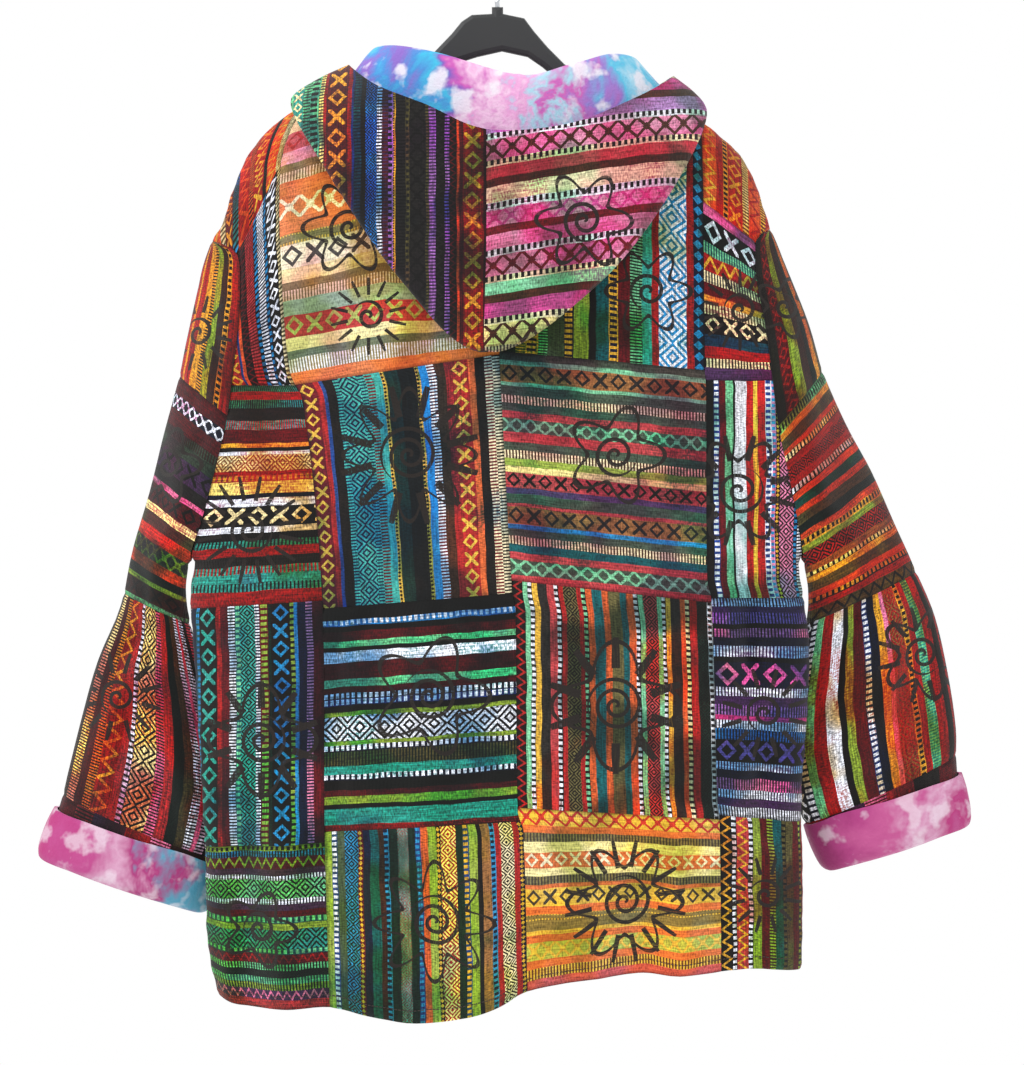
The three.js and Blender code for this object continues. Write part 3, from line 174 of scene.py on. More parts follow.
# Patches of the back and sleeves: way the stripes run, dyes, and width, ground, figure, motif
PATCHES = {
    "A1": ("down", "orange gold", "5 khaki cream ladder;8 orange gold zig;3 black gold plain;"
           "9 red gold xo;4 orange charcoal ladder;9 red orange zig;5 black sky ladder;"
           "7 maroon gold xo;5 khaki white ladder;9 orange gold zig"),
    "A2": ("down", "orange white", "3 khaki cream ladder;10 black white xo;3 navy sky dash;"
           "7 navy white ladder;4 black sky dash;8 maroon salmon ladder;7 black maroon zig;"
           "3 orange gold plain;2 royal sky plain;14 red gold xo"),
    "A3": ("level", "pink gold", "3 charcoal turquoise ladder;4 red red plain;"
           "4 charcoal turquoise ladder;6 charcoal red plain;4 red turquoise ladder;"
           "7 maroon red plain;2 gold gold plain;2 black black plain;2 white white plain;"
           "8 tan cream diamond;2 red pink plain;3 salmon gold dash;6 pale salmon plain;"
           "2 navy navy plain;4 white sky plain;10 black cream xo;3 white white plain;"
           "4 black black plain;4 turquoise charcoal ladder;5 red red plain;"
           "5 charcoal khaki plain;4 red turquoise ladder;4 turquoise purple plain;"
           "4 turquoise charcoal ladder;7 red maroon plain"),
    "A4": ("down", "turquoise sky", "6 maroon red plain;4 navy pink ladder;5 navy brown plain;"
           "2 sky royal plain;3 black lime dash;11 black sky xo;2 forest forest plain;"
           "5 maroon lime dash;3 navy white ladder;9 black turquoise diamond;3 teal mint dash;"
           "4 charcoal white ladder;5 maroon navy plain;3 red gold plain;12 black turquoise xo;"
           "3 teal sky dash;6 navy red plain;4 black white ladder"),
    "A5": ("level", "lime mint", "3 lime black dash;4 black sky ladder;7 maroon lime zig;"
           "4 purple purple plain;3 navy white ladder;12 black mint diamond;3 white navy ladder;"
           "4 purple maroon plain;4 maroon teal plain;4 teal mint dash;4 lime sage plain;"
           "12 forest turquoise diamond;3 teal mint dash;6 maroon red zig;4 charcoal mint ladder;"
           "5 forest lime plain;4 teal mint ladder;4 forest lime ladder;6 purple pink zig;"
           "6 salmon pink plain"),
    "B1": ("level", "gold lime pink", "4 charcoal cream ladder;3 khaki khaki plain;"
           "6 pale pink plain;8 salmon red xo;5 pink cream plain;3 khaki khaki plain;"
           "4 khaki cream ladder;6 orange gold plain;8 orange cream hatch;6 orange gold plain;"
           "4 khaki gold edge;9 cream charcoal xo;5 pale gold plain;3 khaki khaki plain;"
           "4 khaki cream ladder;6 mint pale plain;8 red lime xo;5 pale lime plain;"
           "3 sage sage plain;5 khaki white ladder;5 orange brown plain"),
    "B2": ("down", "sky sky", "8 maroon gold xo;3 red red plain;2 royal orange plain;"
           "5 black black plain;3 turquoise navy ladder;10 navy turquoise diamond;"
           "3 turquoise navy ladder;4 maroon turquoise ladder;4 turquoise mint plain;"
           "2 gold black dots;7 forest forest plain;8 black forest plain;2 gold black dots;"
           "4 sky white plain;4 maroon white ladder;5 brown black plain;3 red red plain;"
           "9 red gold xo;3 orange royal plain;5 black black plain;4 maroon cream ladder;"
           "4 cream black ladder"),
    "B3": ("level", "turquoise sky", "6 black brown plain;3 sky white dash;3 black black plain;"
           "5 maroon maroon plain;3 mint lime plain;2 black black plain;5 white sky plain;"
           "8 maroon red plain;4 mint lime plain;3 maroon maroon plain;3 navy white dash;"
           "3 royal white dash;3 black black plain;2 lime lime plain;12 black white diamond;"
           "2 lime lime plain;3 navy white dash;7 forest khaki ladder;4 turquoise royal plain;"
           "3 navy white dash;5 black black plain;3 maroon maroon plain;4 lime gold plain;"
           "2 black black plain;8 turquoise gold plain;3 red red plain"),
    "B4": ("down", "lime turquoise", "4 lime sage plain;3 royal white dash;4 sage maroon plain;"
           "8 black sky diamond;3 maroon gold dots;4 navy navy plain;5 teal turquoise plain;"
           "3 brown brown plain;3 sky navy dash;5 forest forest plain;6 turquoise red diamond;"
           "4 forest forest plain;3 royal sky dash;4 orange brown plain;5 lime gold plain;"
           "3 black gold dots;9 pale red diamond;4 forest sage plain;3 royal gold dash;"
           "5 lime pale plain;3 black black plain;5 tan gold plain;3 sky navy dash;"
           "3 red red plain;8 cream black diamond;3 red red plain;3 navy gold dots"),
    "C1": ("down", "turquoise lime", "6 forest teal plain;4 khaki gold ladder;5 gold navy dash;"
           "4 forest mint ladder;7 sage teal plain;4 navy gold dash;6 lime forest plain;"
           "3 black black plain;6 teal turquoise plain;4 gold navy dash;5 maroon red plain;"
           "5 forest mint ladder;4 turquoise forest plain;3 red red plain;12 sky white diamond;"
           "3 red red plain;5 navy sky dots"),
    "C2": ("level", "turquoise lilac pink", "4 sage black plain;2 mint mint plain;"
           "9 tan charcoal xo;2 mint gold plain;5 sage sage plain;4 brown cream ladder;"
           "4 sage sage plain;4 salmon red plain;7 sage mint hatch;5 salmon pink plain;"
           "4 sage sage plain;4 brown cream ladder;4 lime sage plain;3 pale white plain;"
           "8 salmon black xo;3 purple sky plain;5 sage sage plain;2 salmon salmon plain;"
           "9 tan charcoal xo;2 sky lime plain;4 sage teal plain;4 brown cream ladder;"
           "4 teal sage plain;4 salmon red plain;8 sage mint hatch;4 salmon sage plain"),
    "C3": ("down", "orange teal", "6 black red zig;3 mint mint plain;3 charcoal white dash;"
           "3 gold gold plain;6 charcoal khaki plain;4 salmon orange plain;3 black white dash;"
           "3 red red plain;8 black khaki diamond;3 red red plain;3 black mint dash;"
           "4 orange tan plain;6 teal teal plain;4 orange brown plain;7 khaki charcoal plain;"
           "4 teal forest plain;4 orange tan plain;3 black white dash;3 mint sky plain;"
           "8 black salmon diamond;3 mint sky plain;3 black white dash;3 gold gold plain;"
           "6 charcoal khaki plain;3 orange orange plain;3 black cream dash;4 red red plain;"
           "7 forest black diamond;3 white black dash"),
    "C4": ("level", "gold lime", "8 gold red hatch;4 orange orange plain;4 khaki charcoal ladder;"
           "5 pale gold plain;8 orange cream xo;4 pale gold plain;4 khaki charcoal ladder;"
           "2 orange orange plain;9 gold charcoal xo;4 orange gold plain;3 khaki gold edge;"
           "5 khaki khaki plain;2 gold gold plain;4 orange orange plain;8 lime gold hatch;"
           "4 orange gold plain;5 brown gold ladder;5 salmon pink plain"),
    "D1": ("down", "orange gold", "8 orange gold zig;4 red red plain;3 gold black dash;"
           "9 red gold xo;4 khaki cream ladder;8 orange red zig;4 maroon gold ladder;"
           "7 red orange zig"),
    "D2": ("level", "magenta turquoise", "4 pink salmon plain;9 black white xo;"
           "4 teal mint ladder;6 red gold zig;4 navy cream ladder;4 maroon salmon plain;"
           "3 gold gold plain;4 khaki cream ladder;7 black cream xo;4 teal turquoise plain;"
           "4 red maroon plain;3 cream black ladder;5 purple lilac plain"),
    "D3": ("down", "white turquoise", "5 black black plain;4 royal white dash;"
           "5 maroon maroon plain;6 mint lime plain;2 black black plain;9 white white plain;"
           "5 red red plain;3 gold gold plain;5 red maroon plain;4 white royal dash;"
           "3 pink sky dash;3 black gold dots;11 black pink diamond;3 navy sky dash;"
           "5 white black ladder"),
    "D4": ("level", "lilac sky", "3 black white ladder;2 purple purple plain;4 navy lilac ladder;"
           "2 black black plain;3 pink black ladder;3 navy navy plain;4 purple white ladder;"
           "2 black black plain;9 navy pink xo;3 white black ladder;3 purple navy plain;"
           "4 navy lilac ladder;2 magenta magenta plain;3 white navy ladder;4 black sky ladder;"
           "8 black lilac xo;3 purple white ladder;3 navy navy plain;4 black pink ladder;"
           "3 white navy ladder;3 purple black plain;4 black white ladder"),
    "D5": ("down", "lime orange", "7 black gold zig;3 black white dash;7 salmon gold zig;"
           "3 black white dash;5 lime gold plain;5 maroon brown plain;4 brown lime ladder;"
           "6 teal forest plain;3 black khaki dash;5 khaki gold plain;5 maroon red plain;"
           "3 forest lime dash;6 red forest plain"),
    "L1": ("down", "gold red", "9 red orange plain;3 gold orange plain;7 red maroon plain;"
           "6 gold lime plain;4 charcoal gold ladder;6 lime khaki plain;7 brown red plain;"
           "4 gold black dash;7 red orange plain"),
    "L2": ("level", "magenta turquoise", "6 maroon red plain;5 navy white hatch;"
           "6 maroon magenta plain;4 sage brown ladder;5 sage charcoal plain;8 purple black xo;"
           "5 charcoal charcoal plain;2 pink magenta plain;7 maroon black xo;3 cream gold plain;"
           "5 khaki charcoal plain;5 orange red plain;6 sage lime hatch;5 orange red plain;"
           "4 forest sage plain;2 lime lime plain;7 brown black xo;2 mint lime plain"),
    "L3": ("down", "orange pink", "5 khaki black ladder;5 brown cream ladder;"
           "4 maroon brown plain;4 gold black ladder;8 red gold zig;4 salmon orange plain;"
           "3 black white dash;10 black cream diamond;4 pink black ladder;4 salmon pink plain;"
           "5 forest khaki plain;4 khaki khaki plain;3 black white ladder;2 pink pink plain;"
           "4 black white ladder;3 charcoal black plain;4 pink black ladder;3 black white dash"),
    "L4": ("down", "red purple", "6 maroon red plain;4 charcoal salmon ladder;"
           "7 purple maroon plain;5 red salmon plain;4 maroon pink ladder;7 brown purple plain;"
           "5 maroon red plain"),
    "R1": ("down", "lime orange", "8 khaki lime plain;6 gold khaki plain;5 forest black zig;"
           "7 brown gold plain;6 lime khaki plain;8 maroon red xo;6 charcoal orange plain"),
    "R2": ("level", "gold orange", "5 mint black dash;4 gold gold plain;6 khaki sage plain;"
           "3 orange orange plain;4 black cream dash;4 red red plain;8 black red diamond;"
           "4 red red plain;4 black white dash;4 orange tan plain;5 teal lime plain;"
           "4 orange orange plain;6 khaki charcoal plain;5 forest lime plain;"
           "4 orange orange plain;4 gold black dash;4 lime gold plain;9 black red diamond;"
           "4 tan orange plain;3 black cream dash;4 gold gold plain;6 khaki charcoal plain;"
           "4 orange red plain;3 black gold dash;4 red red plain;8 khaki black zig"),
    "R3": ("down", "orange gold", "5 red red plain;4 charcoal red plain;5 red maroon plain;"
           "5 mint turquoise ladder;4 red red plain;3 gold black dash;9 tan red diamond;"
           "3 pink red plain;4 gold orange plain;5 navy navy plain;4 royal white dash;"
           "6 maroon maroon plain;4 lime mint plain;3 black black plain;7 white sky plain;"
           "6 red maroon plain;4 mint lime plain;4 navy white dash;7 black white xo"),
    "R4": ("down", "red purple", "6 maroon red plain;5 charcoal purple plain;5 salmon red plain;"
           "4 maroon pink ladder;7 purple charcoal plain;5 red maroon plain"),
    "HL": ("down", "lilac sky", "8 mint black dash;9 turquoise cream xo;6 mint sage ladder;"
           "8 mint black dash;4 pale sage ladder;3 red maroon plain;17 maroon gold xo;"
           "3 red maroon plain;2 royal sky plain;6 teal navy ladder;4 black teal plain;"
           "9 navy sky diamond;4 black white ladder;5 maroon purple ladder;4 lilac black dash;"
           "2 gold black dots;9 charcoal black ladder;3 khaki charcoal dash;"
           "13 charcoal black hatch;3 khaki charcoal ladder;5 lilac purple ladder;"
           "7 black charcoal zig;4 navy lilac ladder;6 black maroon zig;2 orange royal plain;"
           "3 maroon red plain;16 red gold xo;3 maroon red plain"),
    "HR": ("level", "magenta pink mint", "5 khaki brown plain;3 cream charcoal dash;"
           "6 pink cream plain;8 pink maroon hatch;3 maroon brown plain;3 cream black dash;"
           "6 magenta pink plain;3 brown purple plain;6 lilac pink plain;3 white black dash;"
           "8 pink brown hatch;3 cream black dash;5 salmon magenta plain;3 brown maroon plain;"
           "7 cream pink plain;3 white black dash;7 pink magenta hatch;3 maroon brown plain;"
           "6 pink mint plain;3 white black dash;8 pink maroon hatch;3 cream black dash;"
           "5 mint cream plain;3 brown sage plain;6 magenta pink plain;3 cream black dash;"
           "8 pale brown hatch;3 cream black ladder;5 pale pink plain;3 brown maroon plain"),
}
# How dark each patch has dyed, as a share of its yarns' own tone
SHADES = {
    "A1": 0.5, "A2": 0.45, "A3": 0.27, "A4": 0.52, "A5": 0.26, "B1": 1.25, "B2": 0.8, "B3": 0.28,
    "B4": 0.66, "C1": 0.48, "C2": 0.66, "C3": 0.66, "C4": 1.05, "D1": 0.56, "D2": 0.45, "D3": 0.45,
    "D4": 0.27, "D5": 0.42, "HL": 0.24, "HR": 0.72, "L1": 0.2, "L2": 0.16, "L3": 0.1, "L4": 0.3,
    "R1": 0.3, "R2": 0.24, "R3": 0.3, "R4": 0.3,
}
MOTIFS = ["plain", "ladder", "dash", "xo", "zig", "hatch", "diamond", "dots", "edge"]

# Ink prints, generic spirals, flowers and suns: patch, x, z, reach, petals, rays
PRINTS = [
    ("B1", -135, -262, 44, 6, 0), ("B1", -118, -340, 34, 0, 14), ("B2", -82, -462, 62, 8, 12),
    ("C2", 99, -462, 46, 5, 0), ("A3", -223, -528, 48, 0, 16), ("B3", -64, -673, 56, 5, 0),
    ("C3", 99, -682, 60, 4, 10), ("D3", 209, -493, 50, 6, 12), ("D2", 209, -334, 36, 0, 14),
    ("A4", -213, -713, 52, 4, 10), ("B4", -60, -872, 56, 8, 0), ("C4", 107, -854, 54, 6, 16),
    ("HR", 70, -262, 44, 6, 0), ("L1", -272, -352, 34, 0, 12), ("L3", -346, -678, 40, 0, 12),
    ("R3", 378, -640, 44, 5, 12), ("C1", 128, -318, 40, 6, 0), ("L2", -300, -470, 36, 5, 0),
    ("D4", 232, -690, 40, 0, 12), ("R1", 250, -330, 30, 5, 0), ("A5", -215, -880, 36, 5, 0),
    ("D5", 232, -850, 34, 0, 12),
]


def linear(code):
    """sRGB hex to linear red, green and blue."""
    parts = [int(code[i:i + 2], 16) / 255 for i in (1, 3, 5)]
    return tuple(c / 12.92 if c <= 0.04045 else ((c + 0.055) / 1.055) ** 2.4 for c in parts)


def hue(name):
    """A palette colour as the panel has it, with alpha."""
    return (*getattr(bpy.context.scene.jacket_colours, name), 1)


def mix(a, b, t):
    return a + (b - a) * t


def smooth(t):
    s = np.clip(t, 0, 1)
    return s * s * (3 - 2 * s)


def rounded(points, parts=4):
    """A smooth line through the points, with parts pieces to each span."""
    p = np.array(points, float)
    reach = np.concatenate([[0], np.cumsum(np.hypot(*np.diff(p, axis=0).T))])
    slopes = np.empty_like(p)
    slopes[1:-1] = (p[2:] - p[:-2]) / (reach[2:] - reach[:-2])[:, None]
    slopes[0] = (p[1] - p[0]) / (reach[1] - reach[0])
    slopes[-1] = (p[-1] - p[-2]) / (reach[-1] - reach[-2])
    out = []
    for i in range(len(p) - 1):
        span = reach[i + 1] - reach[i]
        for k in range(parts):
            t = k / parts
            out.append((2 * t**3 - 3 * t**2 + 1) * p[i] + (t**3 - 2 * t**2 + t) * span * slopes[i]
                       + (3 * t**2 - 2 * t**3) * p[i + 1] + (t**3 - t**2) * span * slopes[i + 1])
    out.append(p[-1])
    return np.array(out)


LINES = {side: {name: rounded(points) for name, points in lines.items()} for side, lines in EDGES.items()}
NECKS = {"back": rounded(BACK_NECK), "front": rounded(FRONT_NECK)}
HEM_LINE = rounded(HEM)
UPRIGHT_LINES = [rounded(line) for line in UPRIGHTS]
OUTER_FOLD = {side: np.vstack([LINES[side]["shoulder"], LINES[side]["outer"][1:]]) for side in LINES}


def x_at(line, z):
    """x on a falling line at height z."""
    order = np.argsort(line[:, 1], kind="stable")
    return np.interp(z, line[order, 1], line[order, 0])


def z_at(line, x):
    """z on a line that runs across, at place x."""
    order = np.argsort(line[:, 0], kind="stable")
    return np.interp(x, line[order, 0], line[order, 1])


def distance_to(line, x, z, inside):
    """Signed distance from a line, positive on the cloth's side."""
    best = np.full(np.shape(x), np.inf)
    sign = np.ones(np.shape(x))
    for a, b in zip(line[:-1], line[1:]):
        e = b - a
        t = np.clip(((x - a[0]) * e[0] + (z - a[1]) * e[1]) / (e @ e), 0, 1)
        d = np.hypot(x - a[0] - t * e[0], z - a[1] - t * e[1])
        closer = d < best - 1e-9
        turn = np.sign(e[0] * (z - a[1]) - e[1] * (x - a[0])) * inside
        best = np.where(closer, d, best)
        sign = np.where(closer, np.where(turn == 0, 1, turn), sign)
    return np.where(best < 6, best * sign, best)


def edge_distance(part, side, x, z):
    sign = 1 if side == "left" else -1
    top = distance_to(OUTER_FOLD[side], x, z, sign)
    if part == "body":
        low = distance_to(LINES[side]["side"], x, z, sign)
    else:
        low = distance_to(LINES[side]["inner"], x, z, -sign)
    return np.where(np.abs(top) < np.abs(low), top, low)


def fold_height(folds, x, z):
    total = np.zeros(np.shape(x))
    for x0, z0, x1, z1, width, rise in folds:
        ex, ez = x1 - x0, z1 - z0
        t = np.clip(((x - x0) * ex + (z - z0) * ez) / (ex * ex + ez * ez), 0, 1)
        d = np.hypot(x - x0 - t * ex, z - z0 - t * ez) / width
        total += rise * np.exp(-d * d)
    return total


def cloth_side(part, face, side, x, z):
    """Middle surface of the cloth and its outward normal, on one side of the garment."""
    facing = -1 if face == "back" else 1
    near = np.maximum(0, edge_distance(part, side, x, z) - FOLD_FLAT)
    t = np.minimum(1, near / FOLD_RADIUS)
    profile = np.sqrt(np.maximum(0, 1 - (1 - t) ** 2))
    depth = BACK_DEPTH + BACK_SWELL * (1 - smooth(np.abs(x) / 240)) if face == "back" else FRONT_DEPTH
    armhole = np.abs(distance_to(LINES[side]["armhole"], x, z, 1))
    big, small = (BODY_FOLDS, BODY_CREASES) if part == "body" else (SLEEVE_FOLDS, SLEEVE_CREASES)
    creases = bpy.context.scene.jacket_sizes.crease

    def lift(px, pz):
        if face == "back":
            return fold_height(big, px, pz) + creases * fold_height(small, px, pz)
        return -0.8 * creases * fold_height(small, px + 9, pz + 14)

    fold = lift(x, z) * smooth((armhole - ARMHOLE_FLAT) / ARMHOLE_FADE)
    shift = SLEEVE_BEHIND * smooth(armhole / SLEEVE_REACH) if part == "sleeve" else 0
    steep = BACK_DEPTH if face == "back" else FRONT_DEPTH
    rim = steep * (1 - t) / FOLD_RADIUS
    slope = [(edge_distance(part, side, x + dx, z + dz) - edge_distance(part, side, x - dx, z - dz)) / 2
             for dx, dz in ((1, 0), (0, 1))]
    tilt = [(lift(x + dx, z + dz) - lift(x - dx, z - dz)) / 2 for dx, dz in ((1, 0), (0, 1))]
    normal = np.stack([-(rim * slope[0] + profile * tilt[0]), facing * profile,
                       -(rim * slope[1] + profile * tilt[1])], -1)
    normal /= np.linalg.norm(normal, axis=-1, keepdims=True)
    point = np.stack([x, facing * (depth + fold) * profile + shift, z], -1)
    return point, normal


def cloth(part, face, x, z, side=None):
    if side:
        return cloth_side(part, face, side, x, z)
    left = cloth_side(part, face, "left", x, z)
    right = cloth_side(part, face, "right", x, z)
    pick = (x < 0)[..., None]
    return np.where(pick, left[0], right[0]), np.where(pick, left[1], right[1])


def body_edge(side, z):
    lines = LINES[side]
    high = x_at(lines["shoulder"][4 * 3:], z)
    arm = x_at(lines["armhole"], z)
    low = x_at(lines["side"], z)
    return np.where(z > lines["shoulder"][-1, 1], high, np.where(z > lines["armhole"][-1, 1], arm, low))


def sleeve_edge(side, z):
    lines = LINES[side]
    low = lines["armhole"][-1, 1]
    clear = (0.2 + 1.0 * (1 - smooth((z - low) / 40))) * np.minimum(1, (lines["armhole"][0, 1] - z) / 12)
    arm = x_at(lines["armhole"], z) + (-clear if side == "left" else clear)
    return np.where(z < low, x_at(lines["inner"], z), arm)


def top_line(neck):
    left = LINES["left"]["shoulder"][:4 * SHOULDER_END["left"] + 1][::-1]
    right = LINES["right"]["shoulder"][:4 * SHOULDER_END["right"] + 1]
    return np.vstack([left, NECKS[neck][1:-1], right])


class Mesh:
    """Closed walls gathered into one piece, each with its own material and UV map."""

    def __init__(self, name):
        self.name = name
        self.points, self.faces, self.uvs, self.slots, self.materials = [], [], [], [], []

    def slot(self, material):
        if material not in self.materials:
            self.materials.append(material)
        return self.materials.index(material)

    def shell(self, points, uvs, faces, material, merge=0.002):
        """Adds one closed shell, with its doubled points merged and empty faces dropped."""
        key = np.round(points / merge).astype(np.int64)
        _, first, inverse = np.unique(key, axis=0, return_index=True, return_inverse=True)
        inverse = inverse.ravel()
        faces = np.asarray(faces)
        a, b, c, d = (points[faces[:, k]] for k in range(4))
        volume = np.einsum("ij,ij->", a, np.cross(b, c)) + np.einsum("ij,ij->", a, np.cross(c, d))
        if volume < 0:
            faces = faces[:, ::-1]
        start = len(self.points)
        self.points.extend(points[first])
        index = self.slot(material)
        for face in faces:
            ids = list(dict.fromkeys(int(inverse[i]) for i in face))
            if len(ids) > 2:
                corner = {int(inverse[i]): uvs[i] for i in face}
                self.faces.append([start + i for i in ids])
                self.uvs.extend(corner[i] for i in ids)
                self.slots.append(index)

    def wall(self, points, normals, inside, outside, uvs, material, lift=0.0):
        """A wall from a grid of middle points, between two offsets along its normals."""
        rows, cols = points.shape[:2]
        relief = np.zeros((rows, cols)) + lift
        skins = [points + normals * (offset + relief)[..., None] for offset in (outside, inside)]
        both = np.concatenate([skin.reshape(-1, 3) for skin in skins])
        flat = np.concatenate([uvs.reshape(-1, 2)] * 2)
        j, i = np.meshgrid(np.arange(rows - 1), np.arange(cols - 1), indexing="ij")
        a = (j * cols + i).ravel()
        under = rows * cols
        faces = np.concatenate([
            np.stack([a, a + cols, a + cols + 1, a + 1], 1),
            np.stack([a, a + 1, a + cols + 1, a + cols], 1) + under,
        ]).tolist()
        for j in range(rows - 1):
            a, b = j * cols, j * cols + cols - 1
            faces.append([a, a + under, a + under + cols, a + cols])
            faces.append([b, b + cols, b + under + cols, b + under])
        for i in range(cols - 1):
            b = (rows - 1) * cols + i
            faces.append([i, i + 1, i + 1 + under, i + under])
            faces.append([b, b + under, b + 1 + under, b + 1])
        self.shell(both, flat, faces, material)

    def build(self, sharp=50):
        data = bpy.data.meshes.new(self.name)
        data.from_pydata([tuple(p * MM) for p in self.points], [], self.faces)
        layer = data.uv_layers.new(name="weave")
        layer.data.foreach_set("uv", np.array(self.uvs, np.float32).ravel())
        for material in self.materials:
            data.materials.append(material)
        data.polygons.foreach_set("material_index", self.slots)
        data.update()
        data.validate()
        data.shade_smooth()
        data.set_sharp_from_angle(angle=math.radians(sharp))
        obj = bpy.data.objects.new(self.name, data)
        bpy.context.scene.collection.objects.link(obj)
        return obj


def seam_relief(points, free=()):
    """Height of the cloth beside the seams round a patch: a groove and puckers."""
    sizes = bpy.context.scene.jacket_sizes
    rows, cols = points.shape[:2]
    across = np.linalg.norm(np.diff(points, axis=1), axis=-1)
    down = np.linalg.norm(np.diff(points, axis=0), axis=-1)
    from_left = np.concatenate([np.zeros((rows, 1)), np.cumsum(across, axis=1)], axis=1)
    from_top = np.concatenate([np.zeros((1, cols)), np.cumsum(down, axis=0)], axis=0)
    reach = {
        "left": (from_left, from_top), "right": (from_left[:, -1:] - from_left, from_top),
        "top": (from_top, from_left), "bottom": (from_top[-1:] - from_top, from_left),
    }
    height = np.zeros((rows, cols))
    for k, (edge, (away, along)) in enumerate(reach.items()):
        if edge in free:
            continue
        height -= sizes.seam_depth * np.exp(-(away / sizes.seam_width) ** 2)
        pucker = np.sin(along / 4.1 + 1.7 * k) * np.sin(along / 13.7 + 0.9 * k)
        height += PUCKER_RISE * pucker * np.exp(-((away - PUCKER_CREST) / PUCKER_REACH) ** 2)
    return height


def spaced(length, crowd):
    """Fractions along a patch at about the cell size, closer together beside a folded edge."""
    count = max(4, round(length / bpy.context.scene.jacket_sizes.cell))
    t = np.linspace(0, 1, count + 1)
    if crowd == "both":
        return (1 - np.cos(np.pi * t)) / 2
    if crowd == "start":
        return t ** 1.7
    if crowd == "end":
        return 1 - (1 - t) ** 1.7
    return t


def weave_uv(points, way):
    """U in millimetres along the stripes, V from 0 to 1 across them."""
    rows, cols = points.shape[:2]
    middle_row, middle_col = points[rows // 2], points[:, cols // 2]
    across = np.concatenate([[0], np.cumsum(np.linalg.norm(np.diff(middle_row, axis=0), axis=-1))])
    down = np.concatenate([[0], np.cumsum(np.linalg.norm(np.diff(middle_col, axis=0), axis=-1))])
    wide, tall = np.meshgrid(across, down)
    if way == "down":
        return np.stack([tall, wide / across[-1]], -1), across[-1]
    return np.stack([wide, tall / down[-1]], -1), down[-1]


def seam_uv(points, offsets, along):
    """UV of stripes that run beside a patch's inner seam and are cut off by its outer edge."""
    widest = int(np.argmax(offsets.max(axis=1)))
    order = np.argsort(offsets[widest])
    steps = np.linalg.norm(np.diff(points[widest][order], axis=0), axis=-1)
    reach = np.concatenate([[0], np.cumsum(steps)])
    share = np.interp(offsets, offsets[widest][order], reach) / reach[-1]
    return np.stack([along, share], -1), reach[-1]


def body_patch(piece, face, left, right, top, bottom, pattern, crowd):
    """One patch of the body between two upright edges and two level ones."""
    (l0, r0, top_curve), (l1, r1, bottom_curve) = top, bottom
    width = abs(float(right(np.array(r0)) - left(np.array(l0))))
    s = spaced(max(width, 60), crowd[0])[None, :]
    t = spaced(abs(l1 - l0), crowd[1])[:, None]
    upper = mix(left(np.array(l0)), right(np.array(r0)), s)
    lower = mix(left(np.array(l1)), right(np.array(r1)), s)
    z0 = mix(l0, r0, s) if top_curve is None else z_at(top_curve, upper)
    z1 = mix(l1, r1, s) if bottom_curve is None else z_at(bottom_curve, lower)
    z = mix(z0, z1, t)
    x = mix(left(mix(l0, l1, t)), right(mix(r0, r1, t)), s)
    points, normals = cloth("body", face, x, z)
    way = PATCHES[pattern][0]
    uvs, size = weave_uv(points, way)
    if crowd[0] and way == "down":
        offsets = right(z) - x if crowd[0] == "start" else x - left(z)
        uvs, size = seam_uv(points, offsets, uvs[..., 0])
    add_patch(piece, points, normals, uvs, size, pattern)


def add_patch(piece, points, normals, uvs, size, pattern, free=()):
    half = bpy.context.scene.jacket_sizes.cloth / 2
    piece.wall(points, normals, -half, half, uvs, woven(pattern, size), seam_relief(points, free))


def body_seams(neck, left, right, levels, side):
    """Level edges of one column as height at left, height at right, and curve if it isn't straight."""
    top = top_line(neck)
    high = np.array(SHOULDER_LEVEL)
    from_x = LINES["left"]["shoulder"][4 * SHOULDER_END["left"], 0] if side == "left" else float(left(high))
    to_x = float(right(high))
    if side == "right":
        to_x = LINES["right"]["shoulder"][4 * SHOULDER_END["right"], 0]
    low = np.array(HEM_LEVEL)
    first = (float(z_at(top, from_x)), float(z_at(top, to_x)), top)
    last = (float(z_at(HEM_LINE, left(low))), float(z_at(HEM_LINE, right(low))), HEM_LINE)
    return [first, *[(l, r, None) for l, r in levels], last]


def add_node(tree, kind, inputs=(), **settings):
    """Adds a node with its settings, and links or sets its inputs by place or name."""
    node = tree.nodes.new(kind)
    for key, value in settings.items():
        setattr(node, key, value)
    for key, value in (inputs.items() if isinstance(inputs, dict) else enumerate(inputs)):
        if isinstance(value, bpy.types.Node):
            value = value.outputs[0]
        if isinstance(value, bpy.types.NodeSocket):
            tree.links.new(value, node.inputs[key])
        elif value is not None:
            node.inputs[key].default_value = value
    return node


def new_group(name, inputs, output):
    """An empty shader group with its sockets; gives the tree and its input node."""
    tree = bpy.data.node_groups.new(name, "ShaderNodeTree")
    for label in inputs:
        tree.interface.new_socket(label, in_out="INPUT", socket_type="NodeSocketFloat")
    tree.interface.new_socket(output, in_out="OUTPUT", socket_type="NodeSocketFloat")
    start = tree.nodes.new("NodeGroupInput")
    return tree, start


MATH = "ShaderNodeMath"


